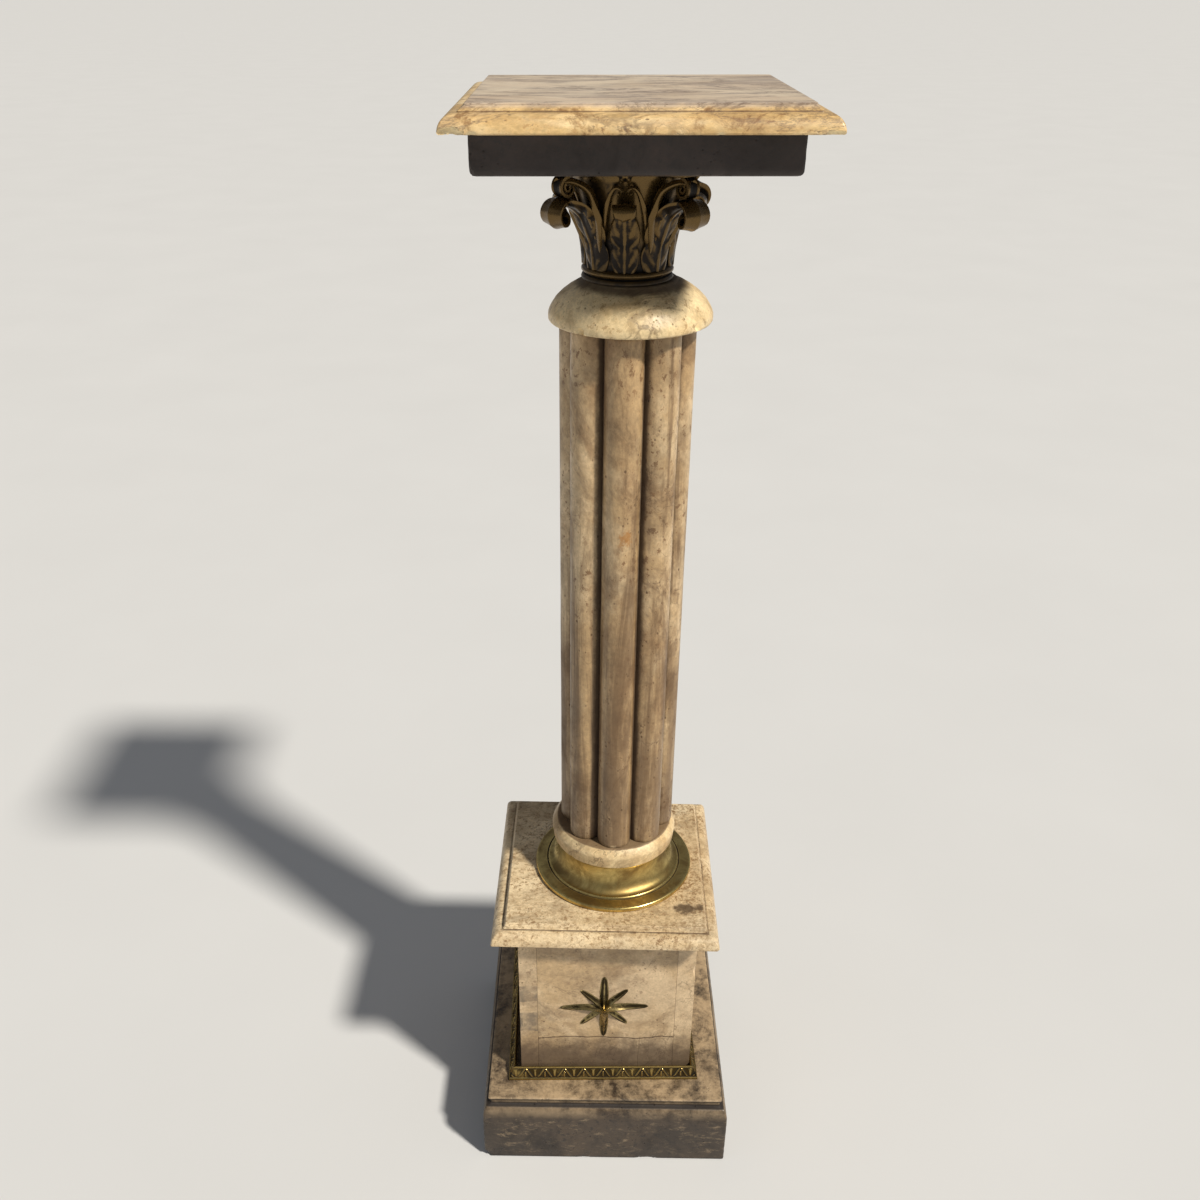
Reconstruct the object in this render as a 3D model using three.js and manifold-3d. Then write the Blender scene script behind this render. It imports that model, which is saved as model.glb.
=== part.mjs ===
// A marble pedestal column with gilt brass mounts. Millimetres, +Z up, the front face looks along -Y.
// Its pieces are stacked from the floor up and stand on each other by their own weight.

import * as THREE from 'three';
import { mergeVertices } from 'three/addons/utils/BufferGeometryUtils.js';
import Module from 'manifold-3d';

const wasm = await Module();
wasm.setup();

// Clear space between two pieces that touch.
const restGap = 0.3;

// Plinth: a square block, an ovolo, a hollowed fillet and a flat top that leaves a shelf round the dado.
const plinthSide = 260;
const plinthBlockHeight = 60;
const plinthOvoloHeight = 16;
const plinthFilletHeight = 10.8;
const plinthTopInset = 6;
const plinthTopSide = plinthSide - 2 * plinthTopInset;
const plinthShelf = 39.5;

// Dado: a box of four marble slabs, the side slabs lapping the ends of the front and back ones.
const dadoSide = plinthSide - 2 * plinthShelf;
const dadoHeight = 203.4;
const dadoSlabThickness = 18.5;

// Foot moulding: four mitred brass strips round the dado's foot, a loose fit.
const mouldingPlay = 3.2;
const mouldingWidth = 8;
const mouldingHeight = 14.2;
const mouldingLeaves = 9;

// Star on the dado's front: two level petals, two upright ones and four shorter ones between them.
const starPetalLength = 46.6;
const starUprightPetalLength = 43.4;
const starShortPetalLength = 35;
const starPetalWidth = 9.5;
const starRise = 9.4;
const starDrop = 3.2;
const starCreep = -2.4;

// Middle slab, wider than the dado by its overhang.
const middleSlabOverhang = 22;
const middleSlabMargin = 13.9;
const middleSlabSide = dadoSide + 2 * middleSlabOverhang;
const middleSlabPanelSide = middleSlabSide - 2 * middleSlabMargin;
const middleSlabThickness = 18.6;

// Brass base ring: a flat flange, then a cove up to the marble disc.
const ringFlangeRadius = 81;
const ringFlangeHeight = 5.2;
const ringFlangeWidth = 12.4;
const ringHeight = 39.6;
const ringNeckRadius = 54;

// Marble disc under the shaft: an upright side, then a shoulder that slopes in to the reeds.
const footDiscRadius = 63;
const footDiscHeight = 21.4;
const footDiscSideHeight = 12.6;

// Shaft: a ring of near half-round reeds.
const shaftRadius = 56.5;
const shaftHeight = 505.3;
const reedCount = 8;
const reedRadius = 16.4;

// Domed cap on the shaft, nearly flat below and widest at its lower edge.
const capRadius = 67;
const capHeight = 34.4;
const capUnderHeight = 1.4;
const capRimHeight = 3.4;
const capTopRadius = 37;

// Capital: its bell and leaves are shares of its span, the leaves' heights shares of its height.
const capitalHeight = 90.6;
const capitalSpan = 116;
const capitalFootRadius = 0.32 * capitalSpan;
const capitalNeckRadius = 0.285 * capitalSpan;
const bellTopRadius = 0.41 * capitalSpan;
const abacusThickness = 8.6;
const cornerLeafReach = 0.665 * capitalSpan;
const cornerLeafWidth = 0.26 * capitalSpan;
const cornerLeafHeight = 0.715 * capitalHeight;
const faceLeafReach = 0.5 * capitalSpan;
const faceLeafWidth = 0.21 * capitalSpan;
const faceLeafHeight = 0.68 * capitalHeight;
const leafThickness = 3.2;
const voluteRadius = 8.8;
const voluteWidth = 12;
const stemRadius = 2.9;
const flowerRadius = 5.5;

// Top slab.
const topSlabSide = 267.8;
const topSlabMargin = 17.2;
const topSlabPanelSide = topSlabSide - 2 * topSlabMargin;
const topSlabThickness = 18;

// Block between the capital and the top slab, set in under the slab's edge.
const blockInset = 20.1;
const blockSide = topSlabSide - 2 * blockInset;
const blockHeight = 28.3;
const blockWornEdge = 3.6;

// How far each stage has crept on the one below, and how far it has turned, in degrees.
const settled = {
  plinth: { x: 0, y: 0, turn: 0 },
  moulding: { x: -4.2, y: 3, turn: 1.3 },
  dado: { x: -3, y: 3, turn: 2.2 },
  middleSlab: { x: -1.5, y: 0, turn: -0.8 },
  ring: { x: 6.5, y: 0, turn: 0 },
  disc: { x: 6, y: 0, turn: 0 },
  shaft: { x: 8.6, y: 0, turn: -4.4 },
  cap: { x: 10.5, y: 0, turn: 0 },
  capital: { x: 7.2, y: 0, turn: -5.5 },
  block: { x: 7.8, y: 0, turn: 0.3 },
  top: { x: 9.2, y: 0, turn: 0.3 },
};

// Fineness of the round pieces.
const roundSteps = 36;
const reedSteps = 10;

const marble = new THREE.MeshStandardMaterial({ color: 0xd8bd8e, roughness: 0.45, metalness: 0 });
const warmMarble = new THREE.MeshStandardMaterial({ color: 0xcfae7c, roughness: 0.5, metalness: 0 });
const soiledMarble = new THREE.MeshStandardMaterial({ color: 0x9c8467, roughness: 0.6, metalness: 0 });
const shadedMarble = new THREE.MeshStandardMaterial({ color: 0x6b5644, roughness: 0.6, metalness: 0 });
const brass = new THREE.MeshStandardMaterial({ color: 0x9a7f3c, roughness: 0.35, metalness: 1 });
const darkBrass = new THREE.MeshStandardMaterial({ color: 0x5e4722, roughness: 0.45, metalness: 1 });

// A closed geometry as a solid that can be joined and cut.
function solidOf(geometry) {
  const bare = geometry.clone();
  bare.deleteAttribute('normal');
  bare.deleteAttribute('uv');
  const merged = mergeVertices(bare, 1e-4);
  const corners = merged.index.array;
  const kept = [];
  for (let i = 0; i < corners.length; i += 3) {
    const [a, b, c] = [corners[i], corners[i + 1], corners[i + 2]];
    if (a !== b && b !== c && c !== a) kept.push(a, b, c);
  }
  return new wasm.Manifold(new wasm.Mesh({
    numProp: 3,
    vertProperties: Float32Array.from(merged.attributes.position.array),
    triVerts: Uint32Array.from(kept),
  }));
}

function geometryOf(solid) {
  const mesh = solid.getMesh();
  const geometry = new THREE.BufferGeometry();
  geometry.setAttribute('position', new THREE.BufferAttribute(mesh.vertProperties.slice(), 3));
  geometry.setIndex(new THREE.BufferAttribute(mesh.triVerts.slice(), 1));
  geometry.computeVertexNormals();
  return geometry;
}

function joined(geometries) {
  return geometries.map(solidOf).reduce((whole, next) => whole.add(next));
}

// Closed rings with the same number of points, skinned from the first to the last and capped.
function loft(rings) {
  const count = rings[0].length;
  const last = (rings.length - 1) * count;
  const faces = [];
  for (let i = 0; i < last; i += count) {
    for (let j = 0; j < count; j += 1) {
      const k = (j + 1) % count;
      faces.push(i + j, i + k, i + count + k);
      faces.push(i + j, i + count + k, i + count + j);
    }
  }
  for (let j = 1; j < count - 1; j += 1) {
    faces.push(0, j + 1, j);
    faces.push(last, last + j, last + j + 1);
  }
  const geometry = new THREE.BufferGeometry().setFromPoints(rings.flat());
  geometry.setIndex(faces);
  geometry.computeVertexNormals();
  return geometry;
}

// A profile of [radius, height] pairs turned about +Z. It starts and ends on the axis or closes.
function turned(profile, steps = roundSteps) {
  const points = profile.map(([radius, height]) => new THREE.Vector2(radius, height));
  return new THREE.LatheGeometry(points, steps).rotateX(Math.PI / 2);
}

// A profile of [half side, height] pairs carried round a square with mitred corners.
function squared(profile) {
  const diagonals = profile.map(([half, height]) => [half * Math.SQRT2, height]);
  return turned(diagonals, 4).rotateZ(Math.PI / 4);
}

// Points of a quarter ellipse from [right, low] up to [left, high], both ends included.
function quarter(left, low, right, high, steps) {
  return Array.from({ length: steps + 1 }, (_, i) => {
    const angle = (Math.PI / 2) * (i / steps);
    return [left + (right - left) * Math.cos(angle), low + (high - low) * Math.sin(angle)];
  });
}

function box(width, depth, height) {
  return new THREE.BoxGeometry(width, depth, height).translate(0, 0, height / 2);
}

// A rough flake of stone, to be cut away where an edge is chipped.
function flake(length, width, height, x, y, z, turn) {
  const shape = new THREE.IcosahedronGeometry(1, 0).scale(length, width, height);
  return solidOf(shape.rotateZ(turn).translate(x, y, z));
}

// Each chip is a flake [length, width, height] set at [x, y, z] as shares of the piece's half side.
function chipped(solid, half, chips) {
  return chips.reduce((rest, { size, at, turn }) => (
    rest.subtract(flake(...size, at[0] * half, at[1] * half, at[2], turn))
  ), solid);
}

// Plinth
const hollowDepth = 2.2;
const filletLip = 2.4;
const cornerChip = 4.5;

function plinthShape() {
  const half = plinthSide / 2;
  const topHalf = plinthTopSide / 2;
  const filletBase = plinthBlockHeight + plinthOvoloHeight;
  const top = filletBase + plinthFilletHeight;
  const body = solidOf(squared([
    [0, 0],
    [half, 0],
    ...quarter(topHalf + filletLip / 2, plinthBlockHeight, half, filletBase, 6),
    [topHalf - hollowDepth, filletBase + filletLip / 4],
    [topHalf - hollowDepth, top - filletLip * 1.5],
    [topHalf, top - filletLip],
    [topHalf, top],
    [0, top],
  ]));
  return geometryOf(chipped(body, half, [
    { size: [3 * cornerChip, cornerChip, 2 * cornerChip], at: [-1, -1, 0], turn: 0.5 },
    { size: [1.4 * cornerChip, cornerChip, cornerChip], at: [1, -1, filletBase - 1], turn: 0.9 },
    { size: [2.2 * cornerChip, 0.8 * cornerChip, cornerChip], at: [0.35, -1, 0], turn: 0.1 },
  ]));
}

const plinthHeight = plinthBlockHeight + plinthOvoloHeight + plinthFilletHeight;

// Foot moulding: the strip on the front, mitred at both ends, with pointed leaves on its slope.
const mouldingLip = 1.8;
const mouldingLeafHeight = 4.6;
const mouldingLeafRise = 1.5;

function mouldingStrip() {
  const inner = dadoSide / 2 + mouldingPlay;
  const outer = inner + mouldingWidth;
  const section = [
    [inner, 0],
    [outer, 0],
    [outer, mouldingLip],
    [outer - 1, mouldingLip + 0.6],
    [inner + mouldingLip, mouldingHeight - 1],
    [inner + mouldingLip, mouldingHeight],
    [inner, mouldingHeight],
  ];
  const mitre = restGap / 2;
  const end = (side) => section.map(([out, z]) => new THREE.Vector3(side * (out - mitre), -out, z));
  const run = loft([end(1), end(-1)]);
  const slopeRun = mouldingWidth - mouldingLip - 1;
  const slopeRise = mouldingHeight - 1.6 - mouldingLip;
  const pitch = (2 * inner) / mouldingLeaves;
  const leaves = Array.from({ length: mouldingLeaves }, (_, i) => new THREE.OctahedronGeometry(1, 0)
    .scale(0.3 * pitch, mouldingLeafRise, mouldingLeafHeight)
    .rotateX(-Math.atan2(slopeRun, slopeRise))
    .translate((i + 0.5) * pitch - inner, -(inner + mouldingLip + slopeRun / 2), mouldingHeight / 2));
  return geometryOf(joined([run, ...leaves]));
}

// Dado slabs
const dadoPanelWidth = dadoSide - 2 * (dadoSlabThickness + restGap);

function sideSlab() {
  return box(dadoSlabThickness, dadoSide, dadoHeight);
}

function panelSlab() {
  return box(dadoPanelWidth, dadoSlabThickness, dadoHeight);
}

// Star: each petal is a ridged blade, widest past its middle, rising towards the centre.
const starBackEdge = 0.9;

function petal(length, width) {
  const steps = 5;
  const rings = Array.from({ length: steps + 1 }, (_, i) => {
    const along = i / steps;
    const half = (width / 2) * (0.22 + 0.78 * Math.sin(Math.PI * (0.12 + 0.82 * along)) ** 0.8);
    const ridge = starBackEdge + 1.4 + (starRise - 2.3) * (1 - along) ** 1.3;
    const x = along * length;
    return [
      new THREE.Vector3(x, -half, 0),
      new THREE.Vector3(x, half, 0),
      new THREE.Vector3(x, half, starBackEdge),
      new THREE.Vector3(x, 0, ridge),
      new THREE.Vector3(x, -half, starBackEdge),
    ];
  });
  return loft(rings);
}

function starShape() {
  const petals = [0, 1, 2, 3].flatMap((i) => [
    petal(i % 2 ? starUprightPetalLength : starPetalLength, starPetalWidth).rotateZ((i * Math.PI) / 2),
    petal(starShortPetalLength, 0.8 * starPetalWidth).rotateZ(((i + 0.5) * Math.PI) / 2),
  ]);
  return geometryOf(joined(petals)).rotateX(Math.PI / 2);
}

// Both square slabs have a flat underside, an ovolo, a small step, a slope and a raised panel.
const slabEase = 1.2;
const slabOvoloHeight = 11.4;
const slabStepRun = 2.4;
const slabStepRise = 0.9;
const slabPanelRise = 1.7;
const middleSlabOvolo = 9.2;
const topSlabOvolo = 10.4;

function slabShape(side, panelSide, thickness, ovolo) {
  const half = side / 2;
  const panel = panelSide / 2;
  const ovoloTop = slabEase + slabOvoloHeight;
  const stepAt = half - ovolo - slabStepRun;
  return squared([
    [0, 0],
    [half - slabEase, 0],
    ...quarter(half - ovolo, slabEase, half, ovoloTop, 7),
    [stepAt, ovoloTop],
    [stepAt, ovoloTop + slabStepRise],
    [panel, thickness - slabPanelRise],
    [panel, thickness],
    [0, thickness],
  ]);
}

function topSlabShape() {
  const body = solidOf(slabShape(topSlabSide, topSlabPanelSide, topSlabThickness, topSlabOvolo));
  return geometryOf(chipped(body, topSlabSide / 2, [
    { size: [11, 5, 4.2], at: [-0.95, -1, 1.2], turn: -0.15 },
    { size: [4, 3.5, 3], at: [-0.83, -1, 0], turn: 0.3 },
    { size: [9, 4, 2.4], at: [0.96, -1, 0], turn: 0.12 },
    { size: [5, 3, 2], at: [0.4, -0.985, 0], turn: 0.05 },
  ]));
}

// Brass base ring
const flangeLip = 1.4;
const flangeGroove = 0.9;

function baseRingShape() {
  const step = ringFlangeRadius - ringFlangeWidth;
  const coveBase = ringFlangeHeight + 2.6;
  const coveTop = ringHeight - 5;
  const seat = ringNeckRadius + 5;
  const coveFoot = step - flangeGroove;
  const cove = Array.from({ length: 7 }, (_, i) => {
    const angle = (Math.PI / 2) * (i / 6);
    return [
      coveFoot - (coveFoot - ringNeckRadius) * Math.sin(angle),
      coveTop - (coveTop - coveBase) * Math.cos(angle),
    ];
  });
  return turned([
    [0, 0],
    [ringFlangeRadius - flangeLip, 0],
    [ringFlangeRadius, flangeLip],
    [ringFlangeRadius, ringFlangeHeight - flangeLip],
    [ringFlangeRadius - flangeLip, ringFlangeHeight],
    [step, ringFlangeHeight + 1.2],
    [step - flangeGroove / 2, ringFlangeHeight],
    ...cove,
    [ringNeckRadius, coveTop + 1.2],
    [seat, ringHeight - 2],
    [seat, ringHeight],
    [0, ringHeight],
  ]);
}

// Marble disc under the shaft, its side leaning in a little towards the bottom
const discTaper = 1.2;
const discEase = 1;
const discLedge = 1;

function footDiscShape() {
  const topRadius = shaftRadius + discLedge;
  return turned([
    [0, 0],
    [footDiscRadius - discTaper - discEase, 0],
    [footDiscRadius - discTaper, discEase],
    ...quarter(topRadius, footDiscSideHeight, footDiscRadius, footDiscHeight, 3),
    [0, footDiscHeight],
  ]);
}

// Shaft: reeds side by side on a circle, meeting in sharp creases.
function shaftShape() {
  const reach = shaftRadius - reedRadius;
  const halfStep = Math.PI / reedCount;
  const crease = reach * Math.cos(halfStep)
    + Math.sqrt(reedRadius ** 2 - (reach * Math.sin(halfStep)) ** 2);
  const sweep = Math.atan2(crease * Math.sin(halfStep), crease * Math.cos(halfStep) - reach);
  const outline = [];
  for (let reed = 0; reed < reedCount; reed += 1) {
    const facing = -Math.PI / 2 + reed * 2 * halfStep;
    for (let i = 0; i < reedSteps; i += 1) {
      const angle = facing + sweep * ((2 * i) / reedSteps - 1);
      outline.push(new THREE.Vector2(
        reach * Math.cos(facing) + reedRadius * Math.cos(angle),
        reach * Math.sin(facing) + reedRadius * Math.sin(angle),
      ));
    }
  }
  return new THREE.ExtrudeGeometry(new THREE.Shape(outline), { depth: shaftHeight, bevelEnabled: false });
}

// Domed cap
const capUnderRun = 10;
const capDomeRun = 45;

function capShape() {
  const domeBase = capUnderHeight + capRimHeight;
  const domeRise = (capHeight - domeBase) / Math.sqrt(1 - (1 - (capRadius - capTopRadius) / capDomeRun) ** 2);
  const dome = Array.from({ length: 8 }, (_, i) => {
    const radius = capTopRadius + (capRadius - capTopRadius) * Math.cos((Math.PI / 2) * (i / 7));
    const out = 1 - (capRadius - radius) / capDomeRun;
    return [radius, domeBase + domeRise * Math.sqrt(Math.max(0, 1 - out ** 2))];
  });
  return turned([
    [0, 0],
    [capRadius - capUnderRun, 0],
    [capRadius - 0.26 * capUnderRun, 0.75 * capUnderHeight],
    [capRadius - 0.05 * capUnderRun, capUnderHeight],
    ...dome,
    [0, capHeight],
  ]);
}

// Capital: a bell with a bead at its foot, under an abacus with hollow sides.
const beadBase = 0.05 * capitalHeight;
const beadTop = 0.12 * capitalHeight;
const abacusLap = 1;

function bellShape() {
  const bellTop = capitalHeight - abacusThickness + abacusLap;
  const flare = bellTopRadius - capitalNeckRadius;
  return turned([
    [0, 0],
    [capitalFootRadius, 0],
    [capitalFootRadius, 0.6 * beadBase],
    [capitalNeckRadius, beadBase],
    ...[0.3, 0.7].map((share) => [capitalFootRadius, beadBase + share * (beadTop - beadBase)]),
    [capitalNeckRadius, beadTop],
    ...[[0.03, 0.28], [0.2, 0.5], [0.58, 0.7]].map(([out, up]) => (
      [capitalNeckRadius + out * flare, up * capitalHeight]
    )),
    [bellTopRadius, bellTop],
    [0, bellTop],
  ], 18);
}

function abacusLayer(span, base, height) {
  const half = span / 2;
  const corner = 0.1 * span;
  const hollow = 0.11 * span;
  const outline = new THREE.Shape();
  outline.moveTo(-half + corner, -half);
  for (let side = 0; side < 4; side += 1) {
    const turn = (side * Math.PI) / 2;
    const spin = (x, y) => new THREE.Vector2(x, y).rotateAround(new THREE.Vector2(), turn);
    const dip = spin(0, -half + 2 * hollow);
    const end = spin(half - corner, -half);
    const next = spin(half, -half + corner);
    outline.quadraticCurveTo(dip.x, dip.y, end.x, end.y);
    if (side < 3) outline.lineTo(next.x, next.y);
  }
  const solid = new THREE.ExtrudeGeometry(outline, { depth: height, bevelEnabled: false, curveSegments: 5 });
  return solid.translate(0, 0, base);
}

// A leaf follows a spine of [reach, height] points and is widest where its lobes are.
function leafShape(spine, width, lobes, hug, stepsAlong = 12, stepsAcross = 6) {
  const curve = new THREE.CatmullRomCurve3(spine.map(([reach, z]) => new THREE.Vector3(reach, 0, z)));
  const rings = Array.from({ length: stepsAlong + 1 }, (_, i) => {
    const along = i / stepsAlong;
    const centre = curve.getPoint(along);
    const tangent = curve.getTangent(along);
    const outward = new THREE.Vector3(tangent.z, 0, -tangent.x);
    const shape = 0.72 + 0.28 * Math.sin(Math.PI * Math.min(1, along / 0.75));
    const lobe = 1 + 0.11 * Math.cos(2 * Math.PI * lobes * along + Math.PI);
    const half = (width / 2) * shape * lobe * (along > 0.93 ? 0.72 : 1);
    const face = [];
    const back = [];
    for (let j = 0; j <= stepsAcross; j += 1) {
      const across = (2 * j) / stepsAcross - 1;
      const fall = hug * (1 - 0.45 * along) * (across * half) ** 2;
      const rib = 1.5 * Math.max(0, 1 - Math.abs(across) / 0.34);
      const thick = leafThickness * (1 - 0.45 * Math.abs(across));
      const side = new THREE.Vector3(0, across * half, 0);
      face.push(centre.clone().add(side).addScaledVector(outward, rib - fall));
      back.unshift(centre.clone().add(side).addScaledVector(outward, -fall - thick));
    }
    return [...face, ...back];
  });
  return loft(rings);
}

function cornerLeaf() {
  const root = capitalNeckRadius + leafThickness / 2;
  const reach = cornerLeafReach;
  const top = cornerLeafHeight;
  return leafShape([
    [root, beadTop],
    [root + 0.015 * reach, 0.37 * top],
    [0.535 * reach, 0.585 * top],
    [0.61 * reach, 0.77 * top],
    [0.74 * reach, 0.925 * top],
    [0.87 * reach, top],
    [0.965 * reach, 0.97 * top],
    [reach, 0.88 * top],
    [0.97 * reach, 0.79 * top],
    [0.905 * reach, 0.775 * top],
    [0.875 * reach, 0.82 * top],
  ], cornerLeafWidth, 4, 0.014, 12, 4);
}

function faceLeaf() {
  const root = capitalNeckRadius + leafThickness / 2;
  const reach = faceLeafReach;
  const top = faceLeafHeight;
  return leafShape([
    [root, beadTop],
    [root + 0.025 * reach, 0.4 * top],
    [0.69 * reach, 0.7 * top],
    [0.84 * reach, 0.95 * top],
    [0.93 * reach, top],
    [0.99 * reach, 0.94 * top],
    [0.97 * reach, 0.86 * top],
  ], faceLeafWidth, 3, 0.014, 8, 4);
}

// A volute stands on the diagonal under each corner of the abacus, with an eye on both sides.
function volute() {
  const reach = 0.63 * capitalSpan - voluteRadius;
  const z = capitalHeight - abacusThickness - voluteRadius + 0.6;
  const scroll = new THREE.CylinderGeometry(voluteRadius, voluteRadius, voluteWidth, 14);
  const eye = new THREE.CylinderGeometry(0.4 * voluteRadius, 0.4 * voluteRadius, voluteWidth + 3, 8);
  return [scroll, eye].map((piece) => piece.translate(reach, 0, z));
}

// The stem of a volute rises beside the face leaf and sweeps out to the corner.
function stem(side) {
  const z = capitalHeight - abacusThickness;
  const corner = capitalSpan / 2;
  const path = new THREE.CatmullRomCurve3([
    new THREE.Vector3(0.62 * capitalNeckRadius * side, -0.86 * capitalNeckRadius, 0.28 * capitalHeight),
    new THREE.Vector3(0.34 * corner * side, -0.74 * corner, 0.55 * capitalHeight),
    new THREE.Vector3(0.46 * corner * side, -0.78 * corner, z - 11),
    new THREE.Vector3(0.68 * corner * side, -0.84 * corner, z - 4),
    new THREE.Vector3(0.88 * corner * side, -0.92 * corner, z - 4),
  ]);
  const section = new THREE.Shape(Array.from({ length: 5 }, (_, i) => (
    new THREE.Vector2(stemRadius, 0).rotateAround(new THREE.Vector2(), (i * Math.PI) / 2.5)
  )));
  return new THREE.ExtrudeGeometry(section, { steps: 6, extrudePath: path });
}

function abacusFlower() {
  return new THREE.IcosahedronGeometry(flowerRadius, 0).scale(1, 0.7, 1.15)
    .translate(0, -bellTopRadius - 0.1 * flowerRadius, capitalHeight - abacusThickness - 0.4 * flowerRadius);
}

function capitalShape() {
  const upper = 0.52 * abacusThickness;
  const base = capitalHeight - abacusThickness;
  const pieces = [
    bellShape(),
    abacusLayer(0.94 * capitalSpan, base, abacusThickness - upper + 0.1),
    abacusLayer(capitalSpan, capitalHeight - upper, upper),
  ];
  for (let side = 0; side < 4; side += 1) {
    const face = (side * Math.PI) / 2;
    const diagonal = face - Math.PI / 4;
    pieces.push(cornerLeaf().rotateZ(diagonal), faceLeaf().rotateZ(face));
    pieces.push(...volute().map((piece) => piece.rotateZ(diagonal)));
    pieces.push(stem(-1).rotateZ(face), stem(1).rotateZ(face), abacusFlower().rotateZ(face));
  }
  return geometryOf(joined(pieces));
}

// Capital block, worn round along its lower edge
function blockShape() {
  const half = blockSide / 2;
  return squared([
    [0, 0],
    [half - blockWornEdge, 0],
    [half - 0.3 * blockWornEdge, 0.3 * blockWornEdge],
    [half, blockWornEdge],
    [half, blockHeight],
    [0, blockHeight],
  ]);
}

// The whole column, from the floor up
const column = new THREE.Group();
let level = 0;

function place(name, geometry, material, { x, y, turn }) {
  const mesh = new THREE.Mesh(geometry, material);
  mesh.name = name;
  mesh.position.set(x, y, level);
  mesh.rotation.z = THREE.MathUtils.degToRad(turn);
  column.add(mesh);
}

place('plinth', plinthShape(), soiledMarble, settled.plinth);
level += plinthHeight + restGap;

['front', 'right', 'back', 'left'].forEach((side, i) => {
  place(`foot_moulding_${side}`, mouldingStrip().rotateZ((i * Math.PI) / 2), brass, settled.moulding);
});

const slabOffset = (dadoSide - dadoSlabThickness) / 2;
place('dado_left', sideSlab().translate(-slabOffset, 0, 0), warmMarble, settled.dado);
place('dado_right', sideSlab().translate(slabOffset, 0, 0), warmMarble, settled.dado);
place('dado_front', panelSlab().translate(0, -slabOffset, 0), warmMarble, settled.dado);
place('dado_back', panelSlab().translate(0, slabOffset, 0), warmMarble, settled.dado);
const starPlace = [starCreep, -dadoSide / 2 - restGap, dadoHeight / 2 - starDrop];
place('dado_star', starShape().translate(...starPlace), brass, settled.dado);
level += dadoHeight + restGap;

const middleSlab = slabShape(middleSlabSide, middleSlabPanelSide, middleSlabThickness, middleSlabOvolo);
place('middle_slab', middleSlab, marble, settled.middleSlab);
level += middleSlabThickness + restGap;

place('base_ring', baseRingShape(), brass, settled.ring);
level += ringHeight + restGap;
place('shaft_foot', footDiscShape(), marble, settled.disc);
level += footDiscHeight + restGap;
place('shaft', shaftShape(), warmMarble, settled.shaft);
level += shaftHeight + restGap;
place('shaft_cap', capShape(), marble, settled.cap);
level += capHeight + restGap;
place('capital', capitalShape(), darkBrass, settled.capital);
level += capitalHeight + restGap;
place('capital_block', blockShape(), shadedMarble, settled.block);
level += blockHeight + restGap;
place('top_slab', topSlabShape(), marble, settled.top);

// The origin is under the middle of the whole outline.
column.updateMatrixWorld(true);
const middle = new THREE.Box3().setFromObject(column).getCenter(new THREE.Vector3());
column.position.set(-middle.x, -middle.y, 0);

export default column;
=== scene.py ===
from math import atan2, ceil, cos, dist, exp, hypot, pi, radians, sin, sqrt

import bpy
import numpy as np
from mathutils import Matrix, Vector, noise


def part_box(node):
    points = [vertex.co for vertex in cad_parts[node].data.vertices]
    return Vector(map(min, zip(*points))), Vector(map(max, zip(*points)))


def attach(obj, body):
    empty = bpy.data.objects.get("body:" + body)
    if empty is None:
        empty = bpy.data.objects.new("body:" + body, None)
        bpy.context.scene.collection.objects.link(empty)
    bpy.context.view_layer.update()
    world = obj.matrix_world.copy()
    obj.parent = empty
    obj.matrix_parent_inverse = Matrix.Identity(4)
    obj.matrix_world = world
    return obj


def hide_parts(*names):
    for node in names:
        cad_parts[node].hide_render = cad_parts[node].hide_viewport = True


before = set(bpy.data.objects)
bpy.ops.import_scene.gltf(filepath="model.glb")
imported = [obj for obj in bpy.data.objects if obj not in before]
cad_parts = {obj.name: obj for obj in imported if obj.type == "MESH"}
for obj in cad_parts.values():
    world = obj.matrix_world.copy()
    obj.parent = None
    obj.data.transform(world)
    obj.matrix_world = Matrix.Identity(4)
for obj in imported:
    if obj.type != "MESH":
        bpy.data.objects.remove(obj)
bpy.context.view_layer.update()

# Plinth. One block of marble sawn square, with an ovolo, a sunk fillet and a flat top worked round
# it. It lies lowest, so it has taken the most dirt and knocks: dark soil sits in the fillet and
# the corners are bruised. The fillet's dark lines are also painted shade, the dark tones are partly
# painted shade on the front, and the cream on the upper faces is partly painted light.
MM = 0.001
PLINTH_HALF = 130.0
PLINTH_NECK = 125.0
SUNK_LINES = (77.2, 84.2)


def ovolo(inner, low, outer, high, steps=9):
    turn = np.linspace(0, pi / 2, steps)
    return [(inner + (outer - inner) * cos(a), low + (high - low) * sin(a)) for a in turn]


def worked(profile, step):
    points = [profile[0]]
    for start, end in zip(profile, profile[1:]):
        count = max(1, ceil(dist(start, end) / step))
        points += [tuple(np.array(start) + (np.array(end) - start) * i / count) for i in range(1, count + 1)]
    return points


def square_walk(half_x, half_y, radii, per_side, per_corner=4):
    corner = [(1, -1), (1, 1), (-1, 1), (-1, -1)]
    walk = []
    for side in range(4):
        before, after = radii[side - 1], radii[side]
        start, end = np.array(corner[side - 1], float), np.array(corner[side], float)
        start, end = start * (half_x, half_y), end * (half_x, half_y)
        along = (end - start) / np.linalg.norm(end - start)
        inward = np.array([-along[1], along[0]])
        first, last = start + along * before, end - along * after
        walk += [first + (last - first) * i / (per_side - 1) for i in range(per_side)]
        centre = last + inward * after
        for i in range(1, per_corner + 1):
            a = (pi / 2) * i / (per_corner + 1)
            walk.append(centre - inward * after * cos(a) + along * after * sin(a))
    return walk


def skin(rings, close_ends=True):
    count = len(rings[0])
    points = [p for ring in rings for p in ring]
    faces = [
        (r * count + i, r * count + (i + 1) % count, (r + 1) * count + (i + 1) % count, (r + 1) * count + i)
        for r in range(len(rings) - 1) for i in range(count)
    ]
    if close_ends:
        faces.append(tuple(range(count - 1, -1, -1)))
        faces.append(tuple((len(rings) - 1) * count + i for i in range(count)))
    return np.array(points, float), faces


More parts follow.
